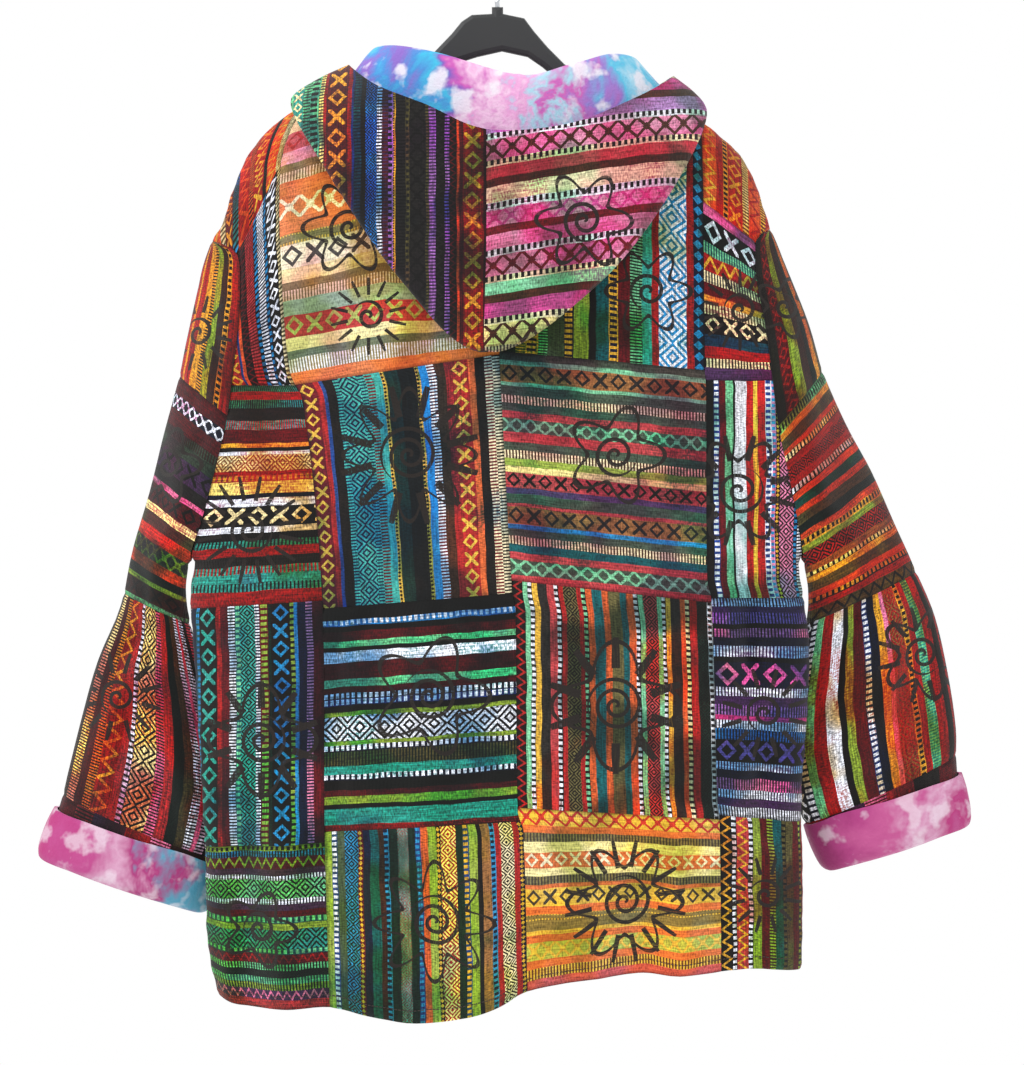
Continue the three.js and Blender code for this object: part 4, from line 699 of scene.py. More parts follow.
def motif_group():
    """Which part of a woven stripe shows its figure: rungs, dashes, crosses and rings, zigzags,
    a lattice, nested diamonds or dots, drawn from the place along the stripe and across it."""
    name = "woven stripe motif"
    if name in bpy.data.node_groups:
        return bpy.data.node_groups[name]
    g, start = new_group(name, ["Along", "Within", "Width", "Motif"], "Figure")
    along, within, width, motif = (start.outputs[i] for i in range(4))
    cells = add_node(g, MATH, [along, width], operation="DIVIDE")
    place = add_node(g, MATH, [cells], operation="FRACT")
    a_signed = add_node(g, MATH, [place, 2, -1], operation="MULTIPLY_ADD")
    a = add_node(g, MATH, [a_signed], operation="ABSOLUTE")
    b_signed = add_node(g, MATH, [within, 2, -1], operation="MULTIPLY_ADD")
    b = add_node(g, MATH, [b_signed], operation="ABSOLUTE")
    rung = add_node(g, MATH, [along, 2.8], operation="DIVIDE")
    rung = add_node(g, MATH, [add_node(g, MATH, [rung], operation="FRACT"), 0.48], operation="LESS_THAN")
    dash = add_node(g, MATH, [along, 5.2], operation="DIVIDE")
    dash = add_node(g, MATH, [add_node(g, MATH, [dash], operation="FRACT"), 0.55], operation="LESS_THAN")
    total = add_node(g, MATH, [a, b], operation="ADD")
    apart = add_node(g, MATH, [add_node(g, MATH, [a, b], operation="SUBTRACT")], operation="ABSOLUTE")
    cross = add_node(g, MATH, [apart, 0.26], operation="LESS_THAN")
    inside = add_node(g, MATH, [a, b], operation="MAXIMUM")
    inside = add_node(g, MATH, [inside, 0.82], operation="LESS_THAN")
    cross = add_node(g, MATH, [cross, inside], operation="MULTIPLY")
    ring = add_node(g, MATH, [total, 0.72, 0.2], operation="COMPARE")
    parity = add_node(g, MATH, [cells], operation="FLOOR")
    parity = add_node(g, MATH, [parity, 2], operation="FLOORED_MODULO")
    other = add_node(g, MATH, [1, parity], operation="SUBTRACT")
    crosses = add_node(g, MATH, [add_node(g, MATH, [cross, parity], operation="MULTIPLY"),
                                 add_node(g, MATH, [ring, other], operation="MULTIPLY")], operation="ADD")
    peak = add_node(g, MATH, [a, 1.5, -0.75], operation="MULTIPLY_ADD")
    zig = add_node(g, MATH, [b_signed, peak, 0.3], operation="COMPARE")
    crossing = add_node(g, MATH, [total, 0.45], operation="LESS_THAN")
    lattice = add_node(g, MATH, [apart, 0.22], operation="LESS_THAN")
    lattice = add_node(g, MATH, [lattice, crossing], operation="MAXIMUM")
    nested = add_node(g, MATH, [add_node(g, MATH, [total, 1.9], operation="MULTIPLY")], operation="FRACT")
    nested = add_node(g, MATH, [nested, 0.5], operation="LESS_THAN")
    dots = add_node(g, MATH, [total, 0.85], operation="LESS_THAN")
    rim = add_node(g, MATH, [b, 0.55], operation="GREATER_THAN")
    rim = add_node(g, MATH, [rim, rung], operation="MULTIPLY")
    inner = add_node(g, MATH, [b, 0.8], operation="LESS_THAN")
    choices = [None, rung, add_node(g, MATH, [dash, inner], operation="MULTIPLY"), crosses, zig, lattice,
               nested, dots, rim]
    result = add_node(g, MATH, [0, 0], operation="ADD")
    for k, choice in enumerate(choices):
        if choice is not None:
            chosen = add_node(g, MATH, [motif, float(k), 0.4], operation="COMPARE")
            result = add_node(g, MATH, [choice, chosen, result], operation="MULTIPLY_ADD")
    end = g.nodes.new("NodeGroupOutput")
    g.links.new(result.outputs[0], end.inputs[0])
    return g


def print_group():
    """One block-printed ink figure of 4 mm lines: a spiral with petals, rays or both round it."""
    name = "block print figure"
    if name in bpy.data.node_groups:
        return bpy.data.node_groups[name]
    g, start = new_group(name, ["X", "Z", "Reach", "Petals", "Rays"], "Ink")
    x, z, reach, petals, rays = (start.outputs[i] for i in range(5))
    square = add_node(g, MATH, [z, z], operation="MULTIPLY")
    r = add_node(g, MATH, [add_node(g, MATH, [x, x, square], operation="MULTIPLY_ADD")], operation="SQRT")
    angle = add_node(g, MATH, [z, x], operation="ARCTAN2")
    share = add_node(g, MATH, [r, reach], operation="DIVIDE")
    turn = add_node(g, MATH, [angle, 2 * math.pi], operation="DIVIDE")
    coil = add_node(g, MATH, [add_node(g, MATH, [r, 9.5], operation="DIVIDE"), turn], operation="SUBTRACT")
    coil = add_node(g, MATH, [add_node(g, MATH, [coil], operation="FRACT"), 0.36], operation="LESS_THAN")
    coil = add_node(g, MATH, [coil, add_node(g, MATH, [share, 0.42], operation="LESS_THAN")],
                    operation="MULTIPLY")
    wave = add_node(g, MATH, [add_node(g, MATH, [angle, petals], operation="MULTIPLY")], operation="COSINE")
    edge = add_node(g, MATH, [wave, 0.2, 0.74], operation="MULTIPLY_ADD")
    edge = add_node(g, MATH, [edge, reach], operation="MULTIPLY")
    petal = add_node(g, MATH, [r, edge, 2.0], operation="COMPARE")
    petal = add_node(g, MATH, [petal, add_node(g, MATH, [petals, 0.5], operation="GREATER_THAN")],
                     operation="MULTIPLY")
    spoke = add_node(g, MATH, [add_node(g, MATH, [turn, rays], operation="MULTIPLY")], operation="FRACT")
    spoke = add_node(g, MATH, [add_node(g, MATH, [spoke, 0.5], operation="SUBTRACT")], operation="ABSOLUTE")
    thin = add_node(g, MATH, [share, -0.24, 0.31], operation="MULTIPLY_ADD")
    spoke = add_node(g, MATH, [spoke, thin], operation="LESS_THAN")
    outer = add_node(g, MATH, [share, 1.0], operation="LESS_THAN")
    beyond = add_node(g, MATH, [share, 0.55], operation="GREATER_THAN")
    spoke = add_node(g, MATH, [spoke, add_node(g, MATH, [outer, beyond], operation="MULTIPLY")],
                     operation="MULTIPLY")
    spoke = add_node(g, MATH, [spoke, add_node(g, MATH, [rays, 0.5], operation="GREATER_THAN")],
                     operation="MULTIPLY")
    both = add_node(g, MATH, [coil, add_node(g, MATH, [petal, spoke], operation="MAXIMUM")],
                    operation="MAXIMUM")
    end = g.nodes.new("NodeGroupOutput")
    g.links.new(both.outputs[0], end.inputs[0])
    return g


def new_material(name):
    material = bpy.data.materials.new(name)
    material.use_nodes = True
    tree = material.node_tree
    tree.nodes.clear()
    out = tree.nodes.new("ShaderNodeOutputMaterial")
    shader = tree.nodes.new("ShaderNodeBsdfPrincipled")
    tree.links.new(shader.outputs[0], out.inputs[0])
    return material, tree, shader


def woven(pattern, size):
    """Hand-loomed cotton of one patch, overdyed and block printed: dull, ribbed by its thick weft,
    with a faint nap. Threads are drawn 1.2 mm apart, coarser than real, so that they show."""
    name = "woven cotton " + pattern
    if name in bpy.data.materials:
        return bpy.data.materials[name]
    material, tree, shader = new_material(name)
    _, dyes, table = PATCHES[pattern]
    rows = [row.split() for row in table.split(";")]
    widths = np.array([float(row[0]) for row in rows])
    starts = np.concatenate([[0], np.cumsum(widths)[:-1]]) / widths.sum()
    shares = widths / widths.sum()
    uv = add_node(tree, "ShaderNodeUVMap", uv_map="weave")
    where = add_node(tree, "ShaderNodeSeparateXYZ", [uv])
    body = add_node(tree, "ShaderNodeTexCoord")
    spot = add_node(tree, "ShaderNodeVectorMath", [body.outputs["Object"], (1000, 1000, 1000)],
                    operation="MULTIPLY")
    wander = add_node(tree, "ShaderNodeTexNoise", {"Vector": spot.outputs[0], "Scale": 0.035,
                                                   "Detail": 1.0})
    shake = add_node(tree, MATH, [wander.outputs[0], 2 * 1.6 / size, -1.6 / size], operation="MULTIPLY_ADD")
    across = add_node(tree, MATH, [where.outputs[1], shake], operation="ADD", use_clamp=True)
    # Three ramps of flat steps, one step a stripe: ground, figure, and start, share and motif as a colour
    motifs = [MOTIFS.index(row[3]) / 10 for row in rows]
    ramps = []
    for colours in ([hue(row[1]) for row in rows], [hue(row[2]) for row in rows],
                    [(*values, 1) for values in zip(starts, shares, motifs)]):
        ramps.append(add_node(tree, "ShaderNodeValToRGB", [across]))
        steps = ramps[-1].color_ramp
        steps.interpolation = "CONSTANT"
        steps.elements.remove(steps.elements[1])
        steps.elements[0].position = 0
        steps.elements[0].color = colours[0]
        for begin, colour in zip(starts[1:], colours[1:]):
            steps.elements.new(begin).color = colour
    ground, figure, layout = ramps
    parts = add_node(tree, "ShaderNodeSeparateColor", [layout])
    within = add_node(tree, MATH, [across, parts.outputs[0]], operation="SUBTRACT")
    within = add_node(tree, MATH, [within, parts.outputs[1]], operation="DIVIDE")
    width = add_node(tree, MATH, [parts.outputs[1], float(size)], operation="MULTIPLY")
    kind = add_node(tree, MATH, [parts.outputs[2], 10], operation="MULTIPLY")
    mask = add_node(tree, "ShaderNodeGroup", node_tree=motif_group())
    for k, socket in enumerate([where.outputs[0], within.outputs[0], width.outputs[0], kind.outputs[0]]):
        tree.links.new(socket, mask.inputs[k])
    yarn = add_node(tree, "ShaderNodeMix", {0: mask.outputs[0], 6: ground, 7: figure}, data_type="RGBA")
    # Uneven yarns: streaks along the stripes and short ones across them
    run = add_node(tree, "ShaderNodeCombineXYZ", [where.outputs[0],
                   add_node(tree, MATH, [across, float(size)], operation="MULTIPLY")])
    streaks = add_node(tree, "ShaderNodeVectorMath", [run.outputs[0], (0.05, 0.85, 1)],
                       operation="MULTIPLY")
    streaks = add_node(tree, "ShaderNodeTexNoise", {"Vector": streaks.outputs[0], "Scale": 1.0,
                                                    "Detail": 2.0})
    cross = add_node(tree, "ShaderNodeVectorMath", [run.outputs[0], (0.8, 0.3, 1)], operation="MULTIPLY")
    cross = add_node(tree, "ShaderNodeTexNoise", {"Vector": cross.outputs[0], "Scale": 1.0, "Detail": 1.0})
    tone = add_node(tree, MATH, [streaks.outputs[0], cross.outputs[0]], operation="ADD")
    tone = add_node(tree, MATH, [tone, 1.9, -0.9], operation="MULTIPLY_ADD")
    yarn = add_node(tree, "ShaderNodeMix", {0: 1.0, 6: yarn.outputs[2], 7: tone}, data_type="RGBA",
                    blend_type="MULTIPLY")
    # The overdye soaks in blotches and shows on the pale yarns
    for k, dye in enumerate(dyes.split()):
        seed = add_node(tree, "ShaderNodeVectorMath", [spot.outputs[0], (40.0 + 90 * k, 0, 170.0 * k)],
                        operation="ADD")
        blot = add_node(tree, "ShaderNodeTexNoise", {"Vector": seed.outputs[0], "Scale": 0.017,
                                                     "Detail": 3.0})
        soak = add_node(tree, "ShaderNodeMapRange", {"Value": blot.outputs[0], "From Min": 0.46,
                                                     "From Max": 0.58, "To Max": 0.72})
        yarn = add_node(tree, "ShaderNodeMix", {0: soak, 6: yarn.outputs[2], 7: hue(dye)}, data_type="RGBA",
                        blend_type="MULTIPLY" if k else "OVERLAY")
    # A darker bath deepens the mid tones and leaves the white yarns bright
    depth = 1 - 0.72 * math.log(SHADES[pattern])
    deep = add_node(tree, "ShaderNodeGamma", [yarn.outputs[2], depth])
    yarn = add_node(tree, "ShaderNodeMix", {0: 0.12, 6: deep, 7: yarn.outputs[2]}, data_type="RGBA")
    # Painted shade along the patch's long seams, where the cloth turns under: the colour is darkened to
    # 0.35 at the seam and back to full within 3.2 mm
    middle = add_node(tree, MATH, [where.outputs[1], 0.5], operation="SUBTRACT")
    middle = add_node(tree, MATH, [middle], operation="ABSOLUTE")
    seam_shade = add_node(tree, MATH, [middle, -float(size), float(size) / 2], operation="MULTIPLY_ADD")
    seam_shade = add_node(tree, "ShaderNodeMapRange", {"Value": seam_shade, "From Max": 3.2, "To Min": 0.35})
    yarn = add_node(tree, "ShaderNodeMix", {0: 1.0, 6: yarn.outputs[2], 7: seam_shade.outputs[0]},
                    data_type="RGBA", blend_type="MULTIPLY")
    spot_parts = add_node(tree, "ShaderNodeSeparateXYZ", [spot.outputs[0]])
    ink = None
    for home, x, z, reach, petals, rays in PRINTS:
        if home != pattern:
            continue
        local = [add_node(tree, MATH, [spot_parts.outputs[axis], -place], operation="ADD")
                 for axis, place in ((0, x), (2, z))]
        drawn = add_node(tree, "ShaderNodeGroup", node_tree=print_group())
        for k, value in enumerate([*local, float(reach), float(petals), float(rays)]):
            if k < 2:
                tree.links.new(value.outputs[0], drawn.inputs[k])
            else:
                drawn.inputs[k].default_value = value
        ink = drawn if ink is None else add_node(tree, MATH, [ink, drawn], operation="MAXIMUM")
    if ink is not None:
        patchy = add_node(tree, "ShaderNodeMapRange", {"Value": streaks.outputs[0], "From Min": 0.3,
                                                       "From Max": 0.5, "To Min": 0.7, "To Max": 1.0})
        ink = add_node(tree, MATH, [ink, patchy], operation="MULTIPLY")
        yarn = add_node(tree, "ShaderNodeMix", {0: ink, 6: yarn.outputs[2], 7: hue("black")},
                        data_type="RGBA")
    tree.links.new(yarn.outputs[2], shader.inputs["Base Color"])
    thread = add_node(tree, "ShaderNodeTexWave", {"Vector": run.outputs[0], "Scale": 0.26,
                                                  "Distortion": 1.5, "Detail Scale": 0.4},
                      bands_direction="X")
    height = add_node(tree, MATH, [mask.outputs[0], 0.5, thread.outputs["Fac"]], operation="MULTIPLY_ADD")
    height = add_node(tree, MATH, [height, streaks.outputs[0]], operation="ADD")
    bump = add_node(tree, "ShaderNodeBump", {"Height": height, "Strength": 0.5, "Distance": 0.0005})
    tree.links.new(bump.outputs[0], shader.inputs["Normal"])
    shader.inputs["Roughness"].default_value = 0.92
    shader.inputs["Sheen Weight"].default_value = 0.12
    shader.inputs["Sheen Roughness"].default_value = 0.6
    shader.inputs["Specular IOR Level"].default_value = 0.25
    return material


def fleece(name, stops, shift, bare):
    """Knitted cotton fleece, tie-dyed in blotches: soft, matt, with a short nap that lightens its
    edges. The loops are drawn 2.5 mm apart so that they show."""
    material, tree, shader = new_material(name)
    body = add_node(tree, "ShaderNodeTexCoord")
    spot = add_node(tree, "ShaderNodeVectorMath", [body.outputs["Object"], (1000, 1000, 1000)],
                    operation="MULTIPLY")
    moved = add_node(tree, "ShaderNodeVectorMath", [spot.outputs[0], shift], operation="ADD")
    blot = add_node(tree, "ShaderNodeTexNoise", {"Vector": moved.outputs[0], "Scale": 0.018, "Detail": 4.0,
                                                 "Roughness": 0.62, "Distortion": 0.4})
    side = add_node(tree, "ShaderNodeSeparateXYZ", [spot.outputs[0]])
    place = add_node(tree, "ShaderNodeMapRange", {"Value": side.outputs[0], "From Min": stops[0][0],
                                                  "From Max": stops[-1][0]})
    push = add_node(tree, MATH, [blot.outputs[0], 1.1, -0.55], operation="MULTIPLY_ADD")
    along = add_node(tree, MATH, [place, push], operation="ADD", use_clamp=True)
    ramp_node = add_node(tree, "ShaderNodeValToRGB", [along])
    ramp = ramp_node.color_ramp
    span = stops[-1][0] - stops[0][0]
    ramp.elements[0].color = (*linear(stops[0][1]), 1)
    ramp.elements[1].color = (*linear(stops[-1][1]), 1)
    for x, code in stops[1:-1]:
        ramp.elements.new((x - stops[0][0]) / span).color = (*linear(code), 1)
    spots = add_node(tree, "ShaderNodeTexNoise", {"Vector": moved.outputs[0], "Scale": 0.045,
                                                  "Detail": 3.0})
    pale = add_node(tree, "ShaderNodeMapRange", {"Value": spots.outputs[0], "From Min": 0.54,
                                                 "From Max": 0.64, "To Max": bare})
    colour = add_node(tree, "ShaderNodeMix", {0: pale, 6: ramp_node, 7: (*linear("#ece6ee"), 1)},
                      data_type="RGBA")
    tree.links.new(colour.outputs[2], shader.inputs["Base Color"])
    loops = add_node(tree, "ShaderNodeTexNoise", {"Vector": spot.outputs[0], "Scale": 0.4, "Detail": 2.0})
    bump = add_node(tree, "ShaderNodeBump", {"Height": loops.outputs[0], "Strength": 0.5,
                                             "Distance": 0.0012})
    tree.links.new(bump.outputs[0], shader.inputs["Normal"])
    shader.inputs["Roughness"].default_value = 0.97
    shader.inputs["Sheen Weight"].default_value = 0.2
    shader.inputs["Sheen Roughness"].default_value = 0.5
    shader.inputs["Specular IOR Level"].default_value = 0.15
    return material


def plain_material(name, code, roughness, metallic=0.0, grain=0.5, depth=0.0001, strength=0.2):
    """A moulded or drawn surface of one colour with a fine grain, given in millimetres."""
    material, tree, shader = new_material(name)
    shader.inputs["Base Color"].default_value = (*linear(code), 1)
    shader.inputs["Roughness"].default_value = roughness
    shader.inputs["Metallic"].default_value = metallic
    body = add_node(tree, "ShaderNodeTexCoord")
    noise = add_node(tree, "ShaderNodeTexNoise", {"Vector": body.outputs["Object"], "Scale": 1000 / grain})
    bump = add_node(tree, "ShaderNodeBump", {"Height": noise.outputs[0], "Strength": strength,
                                             "Distance": depth})
    tree.links.new(bump.outputs[0], shader.inputs["Normal"])
    return material


def finish_piece(obj, nodes, body="jacket"):
    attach(obj, body)
    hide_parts(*nodes)


def column_edges():
    left = lambda z: body_edge("left", z)
    right = lambda z: body_edge("right", z)
    inner = [lambda z, line=line: x_at(line, z) for line in UPRIGHT_LINES]
    return [("A", left, inner[0], "left"), ("B", inner[0], inner[1], None),
            ("C", inner[1], inner[2], None), ("D", inner[2], right, "right")]


class JACKET_OT_back(bpy.types.Operator):
    """Sews the eighteen patches of the back"""

    bl_idname = "jacket.back"
    bl_label = "Back"

    def execute(self, context):
        piece = Mesh("jacket_back")
        nodes = []
        for name, left, right, side in column_edges():
            seams = body_seams("back", left, right, LEVELS[name], side)
            for k in range(len(seams) - 1):
                crowd = ({"left": "start", "right": "end"}.get(side), "start" if k == 0 else None)
                nodes.append(f"back_{name}{k + 1}")
                body_patch(piece, "back", left, right, seams[k], seams[k + 1],
                           f"{name}{k + 1}", crowd)
        obj = piece.build()
        finish_piece(obj, nodes)
        return {"FINISHED"}


class JACKET_OT_fronts(bpy.types.Operator):
    """Sews the two halves of the front, plainly finished"""

    bl_idname = "jacket.fronts"
    bl_label = "Fronts"

    def execute(self, context):
        gap = context.scene.jacket_sizes.zip_gap / 2
        halves = {
            "left": (lambda z: body_edge("left", z), lambda z: np.zeros(np.shape(z)) - gap,
                     ["D3", "B1", "C3", "A5"]),
            "right": (lambda z: np.zeros(np.shape(z)) + gap, lambda z: body_edge("right", z),
                      ["B2", "C4", "A4", "B4"]),
        }
        for side, (left, right, patterns) in halves.items():
            piece = Mesh("front_" + side)
            nodes = [f"front_{side}_{k}" for k in range(1, 5)]
            seams = body_seams("front", left, right, FRONT_LEVELS, side)
            for k, pattern in enumerate(patterns):
                crowd = ("start" if side == "left" else "end", "start" if k == 0 else None)
                body_patch(piece, "front", left, right, seams[k], seams[k + 1], pattern, crowd)
            obj = piece.build()
            finish_piece(obj, nodes)
        return {"FINISHED"}


class JACKET_OT_sleeves(bpy.types.Operator):
    """Sews the two sleeves, each a tube of four bands"""

    bl_idname = "jacket.sleeves"
    bl_label = "Sleeves"

    def execute(self, context):
        for side in ("left", "right"):
            piece = Mesh("sleeve_" + side)
            nodes = []
            lines = LINES[side]
            start = (lines["outer"][0, 1], lines["armhole"][0, 1])
            end = (lines["outer"][-1, 1], lines["inner"][-1, 1])
            seams = [start, *SLEEVE_LEVELS[side], end]
            for k in range(4):
                (o0, i0), (o1, i1) = seams[k], seams[k + 1]
                s = spaced(150, "both")[None, :]
                t = spaced(abs(o1 - o0) + 6, None)[:, None]
                zo, zi = mix(o0, o1, t), mix(i0, i1, t)
                x = mix(x_at(lines["outer"], zo), sleeve_edge(side, zi), s)
                z = mix(zo, zi, s)
                for face in ("back", "front"):
                    nodes.append(f"sleeve_{side}_{face}_{k + 1}")
                    points, normals = cloth("sleeve", face, x, z, side)
                    pattern = f"{side[0].upper()}{k + 1}"
                    uvs, size = weave_uv(points, PATCHES[pattern][0])
                    add_patch(piece, points, normals, uvs, size, pattern, free=("left", "right"))
            obj = piece.build()
            finish_piece(obj, nodes)
        return {"FINISHED"}


# The hood's stations round the neck, in millimetres: neck line, x on it, lift over it, top fold,
# middle of the far layer, lowest point of the pouch, middle of the near layer, free rim, how far
# it is folded over, and the folds' radius
HOOD = [
    ("front", -3, 4, (-4, 27, -183), (-7, 30, -171), (-10, 32, -160), (-14, 33, -153),
     (-17, 34, -146), 0, 5),
    ("front", -55, 4, (-74, 38, -130), (-104, 48, -137), (-120, 52, -160), (-114, 62, -146),
     (-102, 58, -130), 0.5, 6),
    ("back", -95, 9, (-112, -3, -106), (-146, -5, -136), (-185, -11, -145), (-160, -16, -127),
     (-136, -14, -116), 1, 5),
    ("back", -72, 4, (-98, -38, -105), (-133, -46, -170), (-155, -56, -209), (-136, -72, -174),
     (-110, -68, -143), 1, 7),
    ("back", -38, 4, (-55, -52, -116), (-73, -55, -229), (-86, -63, -310), (-76, -84, -236),
     (-66, -86, -163), 1, 8.5),
    ("back", 0, 4, (11, -54, -136), (-3, -57, -255), (-14, -67, -370), (-14, -87, -277),
     (-14, -90, -185), 1, 8.5),
    ("back", 38, 4, (55, -52, -126), (72, -55, -229), (80, -63, -313), (67, -84, -246),
     (55, -86, -180), 1, 8.5),
    ("back", 71, 4, (95, -38, -112), (122, -46, -176), (145, -56, -232), (131, -72, -191),
     (115, -68, -154), 1, 7),
    ("back", 92, 5, (117, -3, -113), (147, -6, -139), (178, -14, -154), (164, -19, -137),
     (150, -15, -126), 1, 5),
    ("front", 55, 4, (72, 38, -135), (100, 48, -144), (116, 52, -168), (110, 62, -152),
     (98, 58, -137), 0.5, 6),
]


def unit(v):
    return v / np.linalg.norm(v)


def hood_keys(neck, nx, lift, top, far, low, near, rim, fold, radius):
    """Ten points up one station: seam, top fold, far layer, pouch, near layer and rim."""
    place = np.array([float(nx)])
    seam = cloth("body", neck, place, z_at(NECKS[neck], place))[0][0] + (0, 0, lift)
    top, far, low, near, rim = (np.array(v, float) for v in (top, far, low, near, rim))

    def bend(tip, before, after):
        back = unit((before + after) / 2 - tip)
        across = after - before
        across = unit(across - back * (across @ back))
        return [tip + back * radius + across * radius * sign for sign in (-1, 1)]

    (t1, t2), (l1, l2) = (
        [mix(plain, curved, fold) for plain, curved in zip(straight, bend(*corner))]
        for straight, corner in (
            ((mix(seam, top, 0.6), mix(top, far, 0.4)), (top, seam, far)),
            ((mix(far, low, 0.6), mix(low, near, 0.4)), (low, far, near)),
        ))
    return [seam, t1, top, t2, far, l1, low, l2, near, rim]


def weights(t):
    """Weights of four neighbouring points on a smooth line through them."""
    return 0.5 * np.stack([-t + 2 * t**2 - t**3, 2 - 5 * t**2 + 3 * t**3, t + 4 * t**2 - 3 * t**3,
                           -t**2 + t**3])


def hood_surface(table, stations, rows):
    around = len(table)
    base = np.floor(stations).astype(int)
    part = weights(stations - base)
    low = np.clip(np.floor(rows).astype(int), 0, 8)
    share = weights(rows - low)
    points = np.zeros((len(rows), len(stations), 3))
    for i in range(4):
        ring = table[(base + i - 1) % around]
        for j in range(4):
            key = np.clip(low + j - 1, 0, 9)
            points += share[j][:, None, None] * part[i][None, :, None] * ring[:, key].transpose(1, 0, 2)
    return points


class JACKET_OT_hood(bpy.types.Operator):
    """Shapes the hood, turned back over the neck, with its fleece lining"""

    bl_idname = "jacket.hood"
    bl_label = "Hood"

    def execute(self, context):
        table = np.array([hood_keys(*station) for station in HOOD])
        shell, lining = Mesh("hood_shell"), Mesh("hood_lining")
        nap = fleece("tie-dyed cotton fleece, hood", [
            (-135, "#8a6bc0"), (-108, "#4f8fd0"), (-82, "#46b8dc"), (-62, "#8060b8"), (-40, "#c860b4"),
            (-12, "#ecc4e0"), (12, "#e2a0d0"), (36, "#a8d4e4"), (60, "#cc66b4"), (85, "#9a7cc8"),
            (110, "#5fc0e0"), (150, "#b8dcec")], (0.0, 0.0, 0.0), 0.85)
        rows = np.unique(np.concatenate([np.arange(0, 9.01, 0.125), [1.8, 2.2, 5.8, 6.2]]))
        for first, pattern in ((0, "HL"), (5, "HR")):
            stations = np.linspace(first, first + 5, 61)
            points = hood_surface(table, stations, rows)
            step = 0.04
            round_way = hood_surface(table, stations + step, rows) - hood_surface(
                table, (stations - step) % len(HOOD), rows)
            up = hood_surface(table, stations, np.clip(rows + step, 0, 9)) - hood_surface(
                table, stations, np.clip(rows - step, 0, 9))
            normals = np.cross(round_way, up)
            normals /= np.linalg.norm(normals, axis=-1, keepdims=True)
            x, z = points[..., 0], points[..., 2]
            if pattern == "HL":
                begin, size = HOOD_LEFT_STRIPES
                uvs = np.stack([-z, np.clip((x - begin) / size, 0, 1)], -1)
            else:
                begin, size = HOOD_RIGHT_STRIPES
                uvs = np.stack([x, np.clip((begin - z + 0.17 * x) / size, 0, 1)], -1)
            groove = seam_relief(points, free=("top", "bottom"))
            shell.wall(points, normals, *HOOD_CLOTH, uvs, woven(pattern, size), groove)
            lining.wall(points, normals, *HOOD_FLEECE, uvs, nap, 0.6 * groove)
        outer, inner = shell.build(), lining.build()
        finish_piece(outer, ["hood_left", "hood_right"])
        finish_piece(inner, ["hood_lining_left", "hood_lining_right"])
        return {"FINISHED"}


# The turned-back cuff's middle line: distance past the sleeve's end, and out from its cloth
CUFF_LINE = [(-18, 3.1), (-6, 5.2), (8, 6.2), (20, 5.8), (26, 3.4), (28, 0.2), (26, -2.8), (16, -3.8),
             (2, -3.1), (-16, -2.9)]


class JACKET_OT_cuffs(bpy.types.Operator):
    """Rolls the fleece back over the ends of the sleeves"""

    bl_idname = "jacket.cuffs"
    bl_label = "Cuffs"

    def execute(self, context):
        dyes = {
            "left": [(-440, "#b03a78"), (-395, "#b64c88"), (-350, "#d09cba"), (-318, "#a63876"),
                     (-290, "#5c9cb8"), (-262, "#2f8cac"), (-235, "#ae588e")],
            "right": [(270, "#94326a"), (310, "#aa427e"), (350, "#bc588e"), (380, "#d09cba"),
                      (410, "#b03a78"), (440, "#b6588e")],
        }
        thick = context.scene.jacket_sizes.fleece
        for side in ("left", "right"):
            lines = LINES[side]
            middle = rounded(CUFF_LINE, 3)
            way = np.gradient(middle, axis=0)
            way /= np.linalg.norm(way, axis=1, keepdims=True)
            outward = np.stack([way[:, 1], -way[:, 0]], 1) * thick / 2
            loop = np.concatenate([middle + outward, (middle - outward)[::-1]])
            ends = [lines["outer"][-1], lines["inner"][-1]]
            hang = [unit(lines[name][-1] - lines[name][-5]) for name in ("outer", "inner")]
            share = spaced(150, "both")
            share = share[(share == 0) | (share == 1) | (np.abs(share - 0.5) < 0.49)]
            ring = [(s, "back") for s in share] + [(s, "front") for s in share[1:-1][::-1]]
            grid = np.zeros((len(ring), len(loop), 3))
            for n, (s, face) in enumerate(ring):
                x, z = mix(ends[0], ends[1], s)
                point, normal = (v[0] for v in cloth("sleeve", face, np.array([x]), np.array([z]), side))
                down = mix(hang[0], hang[1], s)
                down = unit(np.array([down[0], 0, down[1]]))
                out = unit(normal - down * (normal @ down))
                around = 2 * math.pi * n / len(ring)
                puff = (0.9 * math.sin(3 * around + 1) + 0.7 * math.sin(7 * around)
                        + 0.4 * math.sin(13 * around))
                slide = 1.6 * math.sin(2 * around + 0.6) + 0.8 * math.sin(5 * around)
                over = np.clip((loop[:, 1] + 1) / 5, 0, 1)
                grid[n] = (point + down * (loop[:, 0] + slide * over)[:, None]
                           + out * (loop[:, 1] + puff * over)[:, None])
            count, size = grid.shape[:2]
            j, i = (v.ravel() for v in np.meshgrid(np.arange(count), np.arange(size), indexing="ij"))
            faces = np.stack([j * size + i, j * size + (i + 1) % size,
                              (j + 1) % count * size + (i + 1) % size, (j + 1) % count * size + i], 1)
            piece = Mesh("cuff_fleece_" + side)
            uvs = np.stack([j / count, i / size], 1)
            nap = fleece("tie-dyed cotton fleece, cuff " + side, dyes[side], (30.0, 10.0, 55.0), 0.45)
            piece.shell(grid.reshape(-1, 3), uvs, faces, nap, 1e-5)
            obj = piece.build(80)
            finish_piece(obj, ["cuff_" + side])
        return {"FINISHED"}


